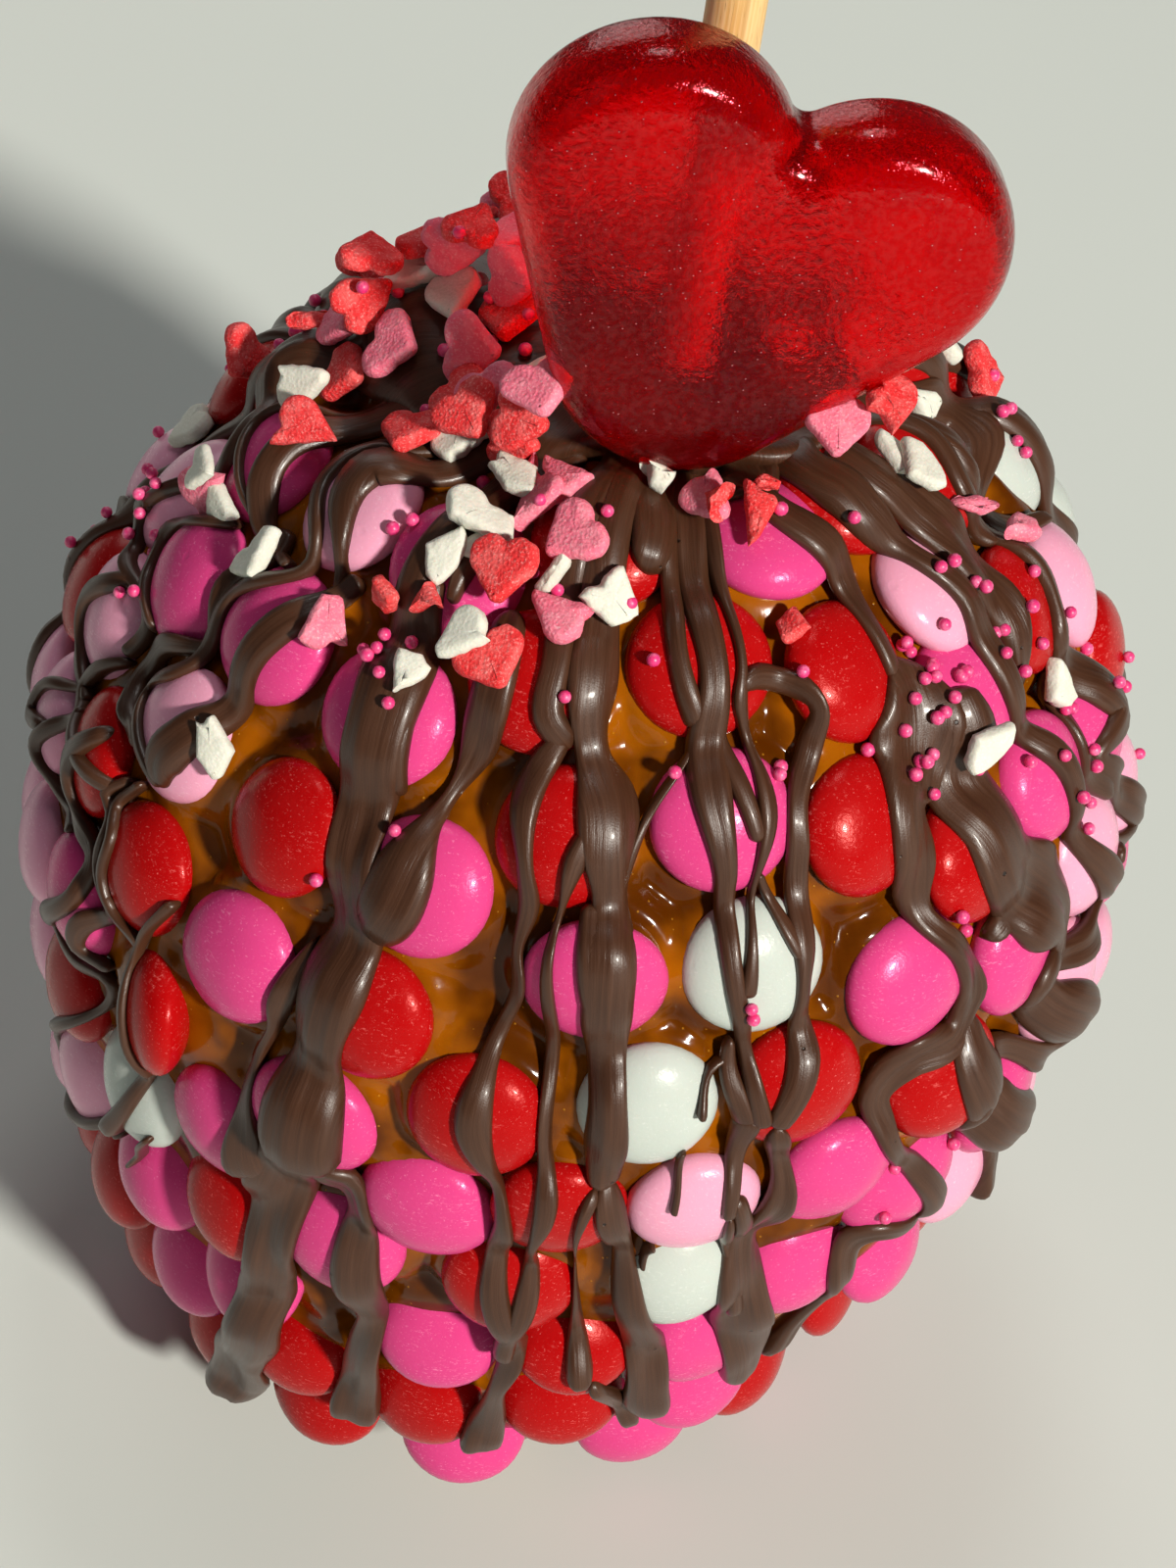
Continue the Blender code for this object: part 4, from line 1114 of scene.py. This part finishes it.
# Sugar hearts, whole or broken, in the order they fell: kind, longitude, distance down, which way the tip
# points (round from straight down towards greater longitude), and how far it has rolled on its side
SPRINKLES = [
    ("red heart", -64, 26, 50, 0), ("white piece", -57, 22, 70, 10), ("red heart", -42, 19, 110, 50),
    ("red heart", -39, 18, 105, 40), ("pink bit", -33, 20, 105, 30), ("white chip", -34, 22, 85, 0),
    ("pink piece", -22, 20, 110, 0), ("pink piece", -25, 23, 0, 20), ("pink heart", -14, 25, -40, 0),
    ("white piece", -33, 27, -5, 0), ("white bit", -28, 28, 75, 0), ("white chip", -33, 31, 45, 0),
    ("red heart", -25, 30, 20, 35), ("red bit", -31, 35, -5, 40), ("pink piece", -12, 32, -100, 0),
    ("red heart", -18, 37, 45, 0), ("white piece", -24, 35, -45, 20), ("white chip", -28, 41, 105, 0),
    ("white chip", -47, 57, 55, 0), ("pink chip", -45, 42, -130, 15), ("white heart", -104, 56, 35, 0),
    ("white chip", -4, 29, 50, 0), ("red bit", -37, 36, 115, 30), ("white bit", -60, 43, 75, 20),
    ("white bit", -15, 28, 40, 0), ("pink piece", 13, 20, 10, 30), ("red bit", 17, 21, 0, 60),
    ("red piece", 25, 21, 95, 10), ("white bit", -2, 18, 90, 20), ("pink heart", 44, 18, -35, 0),
    ("pink bit", 58, 16, 15, 0), ("red piece", 55, 19, -35, 0), ("white chip", 68, 22, -65, 0),
    ("white chip", 67, 24, 25, 10), ("red heart", 123, 38, 10, 15), ("red bit", 101, 21, -20, 0),
    ("red bit", 53, 18, -30, 0), ("white chip", 103, 25, 40, 15), ("pink bit", 76, 30, 20, 40),
    ("pink chip", 83, 37, -25, 0), ("white chip", 74, 50, 55, 0), ("white chip", 52, 47, -20, 0),
    ("red bit", 29, 31, -35, 30), ("red bit", 29, 19, 95, 20), ("white heart", -96, 20, 100, 20),
    ("pink heart", -87, 25, 145, 0), ("pink heart", -99, 31, 125, 15), ("red heart", -97, 27, -150, 70),
    ("red heart", -89, 31, 135, 0), ("red heart", -104, 44, 85, 65), ("white piece", -83, 34, 155, 50),
    ("white piece", -104, 24, 175, 20), ("red heart", -108, 23, -60, 10),
    ("pink heart", -103, 20, -175, 75), ("red heart", -105, 18, -95, 10), ("red heart", -91, 15, 80, 10),
    ("pink heart", -97, 14, 155, 70), ("pink heart", -77, 18, 160, 60), ("red heart", -66, 20, 110, 10),
    ("pink piece", -60, 18, 65, 20), ("white piece", -63, 15, 70, 0), ("pink heart", -34, 17, 45, 10),
    ("red heart", -56, 20, 80, 0), ("red heart", -100, 25, -75, 40), ("red piece", -75, 34, 140, 20),
    ("pink piece", -78, 45, 165, 40), ("white chip", -74, 44, 130, 10), ("white bit", -77, 43, 130, 0),
]
# Where the sugar pearls gathered: longitude, distance down, and how many lie together
PEARL_GROUPS = [
    (-85, 53, 9), (-97, 69, 3), (-76, 54, 3), (-49, 26, 3), (-33, 41, 7), (-22, 50, 2), (-18, 22, 3),
    (-11, 30, 6), (-8, 24, 1), (10, 36, 2), (24, 26, 1), (22, 62, 2), (28, 42, 3), (42, 24, 1),
    (40, 45, 5), (50, 38, 12), (47, 46, 5), (47, 64, 2), (48, 95, 3), (64, 36, 6), (63, 57, 4), (70, 43, 4),
    (72, 55, 6), (82, 38, 4), (82, 53, 1), (92, 66, 4), (100, 24, 4), (104, 39, 4), (-111, 42, 6),
    (-98, 25, 4), (-82, 15, 5), (-66, 14, 1),
]
PEARL_GROUP_TURN = 3.2  # how far a pearl strays from the middle of its group, in degrees
PEARL_GROUP_DROP = 3.4  # and in millimetres
PEARL_TOP = 10  # no pearl of a group lies nearer the top
# How many lie out of sight of the front, and between which longitudes and distances down
SUGARS_BEHIND = (30, (118, 262), (13, 36))
PEARLS_BEHIND = (60, (120, 265), (16, 70))
FALL = 26 * MM  # how high over the caramel a sprinkle starts to fall
# Shares that settle a sprinkle: of its reach, how far round its middle it feels for what it lies on; of its
# half thickness, how high its middle comes to lie over that; of two sprinkles' reach, how near they are when
# one lifts the other; and of the way that would clear them, how far it lifts
FEEL, SINK, CROWDED, LIFTED = 0.6, 0.85, 0.75, 0.7


def pressed_sugar(random, breaks=0, left=0):
    """A sugar heart with worn edges, broken off all round beyond what is left of it, as points and faces."""
    ways = unit(random.normal(size=(breaks, 2)))
    limits = random.uniform(left, left + 0.9 * MM, breaks)
    profile = [(0.8, 1.0), (0.42, 0.95), (0.18, 0.78), (0.05, 0.45), (0.0, 0.0)]
    profile += [(inset, -height) for inset, height in reversed(profile[:-1])]
    rings = []
    for inset, height in profile:
        outline = SUGAR_HEART.outline(inset * MM, 4) - (0, SUGAR_HEART.drop * 0.55)
        for way, limit in zip(ways, limits):
            beyond = np.maximum(outline @ way - limit + inset * MM, 0)
            outline = outline - 0.95 * beyond[:, None] * way
        rings.append(np.insert(outline, 2, height * SUGAR_HALF_THICKNESS, axis=1))
    points, faces = closed_tube(np.stack(rings))
    points = points * random.uniform(0.9, 1.1, 3)
    points += 0.06 * MM * np.stack([unevenness(points, 1.4 * MM, random.integers(999)) for _ in range(3)], -1)
    return points - (points.min(0) + points.max(0)) / 2, faces


class Ground:
    """What the sprinkles fall on: the pieces made so far, and the sprinkles already there."""

    def __init__(self):
        graph = bpy.context.evaluated_depsgraph_get()
        self.trees = [BVHTree.FromObject(piece, graph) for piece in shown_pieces() if piece.type == "MESH"]
        self.lying = []

    def hit(self, longitude, down):
        """The outermost point over a place, and the surface's direction there."""
        start = Vector(on_caramel(longitude, down, FALL))
        way = -Vector(way_out(longitude, down))
        hits = [tree.ray_cast(start, way) for tree in self.trees]
        point, normal, _, _ = min((hit for hit in hits if hit[0]), key=lambda hit: hit[3])
        return point, normal

    def rest(self, longitude, down, reach, thickness):
        """Where a sprinkle comes to rest, on the surface or on others, and which way it faces."""
        longitude, down = float(longitude), float(down)
        point, facing = self.hit(longitude, down)
        out = Vector(way_out(longitude, down))
        height = 0
        for turn in round_turn(6):
            step = FEEL * reach
            beside = longitude + step * math.cos(turn) / radius_at(down)
            other, normal = self.hit(beside, max(down + step * math.sin(turn), 1 * MM))
            facing = facing + normal
            height = max(height, (other - point).dot(out))
        facing = (facing.normalized() + 0.5 * out).normalized()
        centre = point + out * 0.5 * height + facing * thickness * SINK
        for other, other_reach, other_thickness in self.lying:
            apart = centre - other
            lateral = (apart - facing * apart.dot(facing)).length
            room = thickness + other_thickness
            if lateral < CROWDED * (reach + other_reach) and abs(apart.dot(facing)) < room:
                centre = centre + facing * (room - apart.dot(facing)) * LIFTED
        self.lying.append((centre, reach, thickness))
        return centre, facing


def turned(facing, longitude, down, spin, roll):
    """The turn of a tablet that faces a way, its tip at a spin from straight down, rolled about the tip."""
    across = way_across(longitude)
    downward = -np.cross(way_out(longitude, down), across)
    tip = Vector(math.cos(spin) * downward + math.sin(spin) * across)
    tip = (tip - facing * tip.dot(facing)).normalized()
    facing = Matrix.Rotation(roll, 3, tip) @ facing
    return Matrix((tip.cross(-facing), -tip, facing)).transposed()


def scatter_places(random, count, longitudes, downs):
    return [(random.uniform(*longitudes), random.uniform(*downs)) for _ in range(count)]


def gathered_pearls(random):
    """A place for each pearl, a little way from the middle of its group."""
    places = []
    for longitude, down, number in PEARL_GROUPS:
        turns = random.normal(longitude, PEARL_GROUP_TURN, number)
        drops = random.normal(down, PEARL_GROUP_DROP, number)
        places += zip(turns, np.maximum(drops, PEARL_TOP))
    return places


def fallen_behind(random):
    """More sugar hearts and pieces, scattered out of sight of the front."""
    fallen = []
    for longitude, down in scatter_places(random, *SUGARS_BEHIND):
        colour = random.choice(list(SUGARS), p=(0.42, 0.34, 0.24))
        shape = random.choice(list(SUGAR_REACH), p=(0.4, 0.25, 0.2, 0.15))
        spin, roll = random.uniform(0, 360), random.choice([0, 0, 20, 50])
        fallen.append((f"{colour} {shape}", longitude, down, spin, roll))
    return fallen


def add_sprinkles():
    random = np.random.default_rng(17)
    ground = Ground()
    shapes = {
        "heart": [pressed_sugar(random) for _ in range(8)],
        "piece": [pressed_sugar(random, 1, 0.2 * MM) for _ in range(9)],
        "chip": [pressed_sugar(random, 4, 1.2 * MM) for _ in range(9)],
        "bit": [pressed_sugar(random, 4, 0.3 * MM) for _ in range(9)],
    }
    batches = {}
    for kind, longitude, down, spin, roll in SPRINKLES + fallen_behind(random):
        colour, shape = kind.split()
        longitude, down, roll = math.radians(longitude), down * MM, math.radians(roll)
        half = SUGAR_HALF_THICKNESS * math.cos(roll) + SUGAR_REACH[shape] * math.sin(roll)
        centre, facing = ground.rest(longitude, down, SUGAR_REACH[shape], half)
        turn = turned(facing + Vector(random.normal(0, 0.08, 3)), longitude, down, math.radians(spin), roll)
        points, faces = shapes[shape][random.integers(len(shapes[shape]))]
        batches.setdefault((shape, colour), Batch()).add(points @ np.array(turn).T + centre, faces)
    sphere = bmesh.new()
    bmesh.ops.create_icosphere(sphere, subdivisions=2, radius=PEARL_RADIUS)
    ball = np.array([vertex.co for vertex in sphere.verts])
    ball_faces = [[vertex.index for vertex in face.verts] for face in sphere.faces]
    sphere.free()
    pearls = Batch()
    for longitude, down in gathered_pearls(random) + scatter_places(random, *PEARLS_BEHIND):
        centre, _ = ground.rest(math.radians(longitude), down * MM, 0.5 * MM, 0.9 * PEARL_RADIUS)
        pearls.add(ball * random.uniform(0.92, 1.08) + centre, ball_faces)
    finishes = {colour: sugar_finish(colour + "_pressed_sugar", *looks) for colour, looks in SUGARS.items()}
    for (shape, colour), batch in batches.items():
        add_batch(f"sugar_{shape}s_{colour}", finishes[colour], "sprinkle_" + colour, batch)
    add_batch("sugar_pearls", pearl_finish(), "sugar_pearl", pearls)


# ---- the studio ----

CAMERA_AIM = Vector((LEAN * WAIST_HEIGHT, 0, WAIST_HEIGHT))
CAMERA_DISTANCE = 400 * MM
CAMERA_ELEVATION = math.radians(44)
CAMERA_ROLL = math.radians(9)
CAMERA_LENS = 86.85
CAMERA_SHIFT = (0.008, 0.003)
FLOOR_HALF_SIDE = 30
SKY_COLOUR = (0.86, 0.93, 1.0, 1.0)
SKY_STRENGTH = 0.045
# Each lamp's place from what the camera looks at, its width, power and colour
LAMPS = {
    "key": ((2.65, -3.15, 2.375), 0.45, 302, (1.0, 0.95, 0.86)),
    "fill": ((-0.5, -0.6, 0.55), 0.7, 0.18, (0.95, 0.97, 1.0)),
    "back": ((-0.5, 1.3, 0.75), 0.9, 3.2, (1.0, 0.97, 0.93)),
    "overhead": ((-0.04, 0.2, 0.84), 0.22, 1.0, (1.0, 0.98, 0.95)),
}


def add_camera():
    cosine, sine = math.cos(CAMERA_ELEVATION), math.sin(CAMERA_ELEVATION)
    back, side, upward = Vector((0, -cosine, sine)), Vector((1, 0, 0)), Vector((0, sine, cosine))
    cosine, sine = math.cos(CAMERA_ROLL), math.sin(CAMERA_ROLL)
    facing = Matrix((side * cosine + upward * sine, upward * cosine - side * sine, back)).transposed()
    lens = bpy.data.cameras.new("camera")
    lens.lens = CAMERA_LENS
    lens.shift_x, lens.shift_y = CAMERA_SHIFT
    camera = put("camera", lens)
    camera.matrix_world = Matrix.Translation(CAMERA_AIM + back * CAMERA_DISTANCE) @ facing.to_4x4()
    bpy.context.scene.camera = camera


def add_lamps():
    for name, (place, size, power, colour) in LAMPS.items():
        lamp = bpy.data.lights.new(name, "AREA")
        lamp.shape = "DISK"
        lamp.size, lamp.energy, lamp.color = size, power, colour
        light = put(name, lamp)
        light.location = CAMERA_AIM + Vector(place)
        light.rotation_euler = Vector(place).to_track_quat("Z", "Y").to_euler()


def add_studio():
    corners = [(x * FLOOR_HALF_SIDE, y * FLOOR_HALF_SIDE, 0) for x, y in ((-1, -1), (1, -1), (1, 1), (-1, 1))]
    mesh = bpy.data.meshes.new("floor")
    mesh.from_pydata(corners, [], [(0, 1, 2, 3)])
    mesh.materials.append(floor_finish())
    floor = put("floor", mesh)
    floor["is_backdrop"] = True
    world = bpy.data.worlds.new("studio")
    world.use_nodes = True
    sky = world.node_tree.nodes["Background"].inputs
    sky["Color"].default_value, sky["Strength"].default_value = SKY_COLOUR, SKY_STRENGTH
    bpy.context.scene.world = world
    bpy.context.scene.view_settings.view_transform = "Standard"
    add_lamps()


add_camera()
add_studio()
add_candies()
add_caramel()
add_cap(add_streams())
add_jelly_heart()
add_stick()
add_sprinkles()
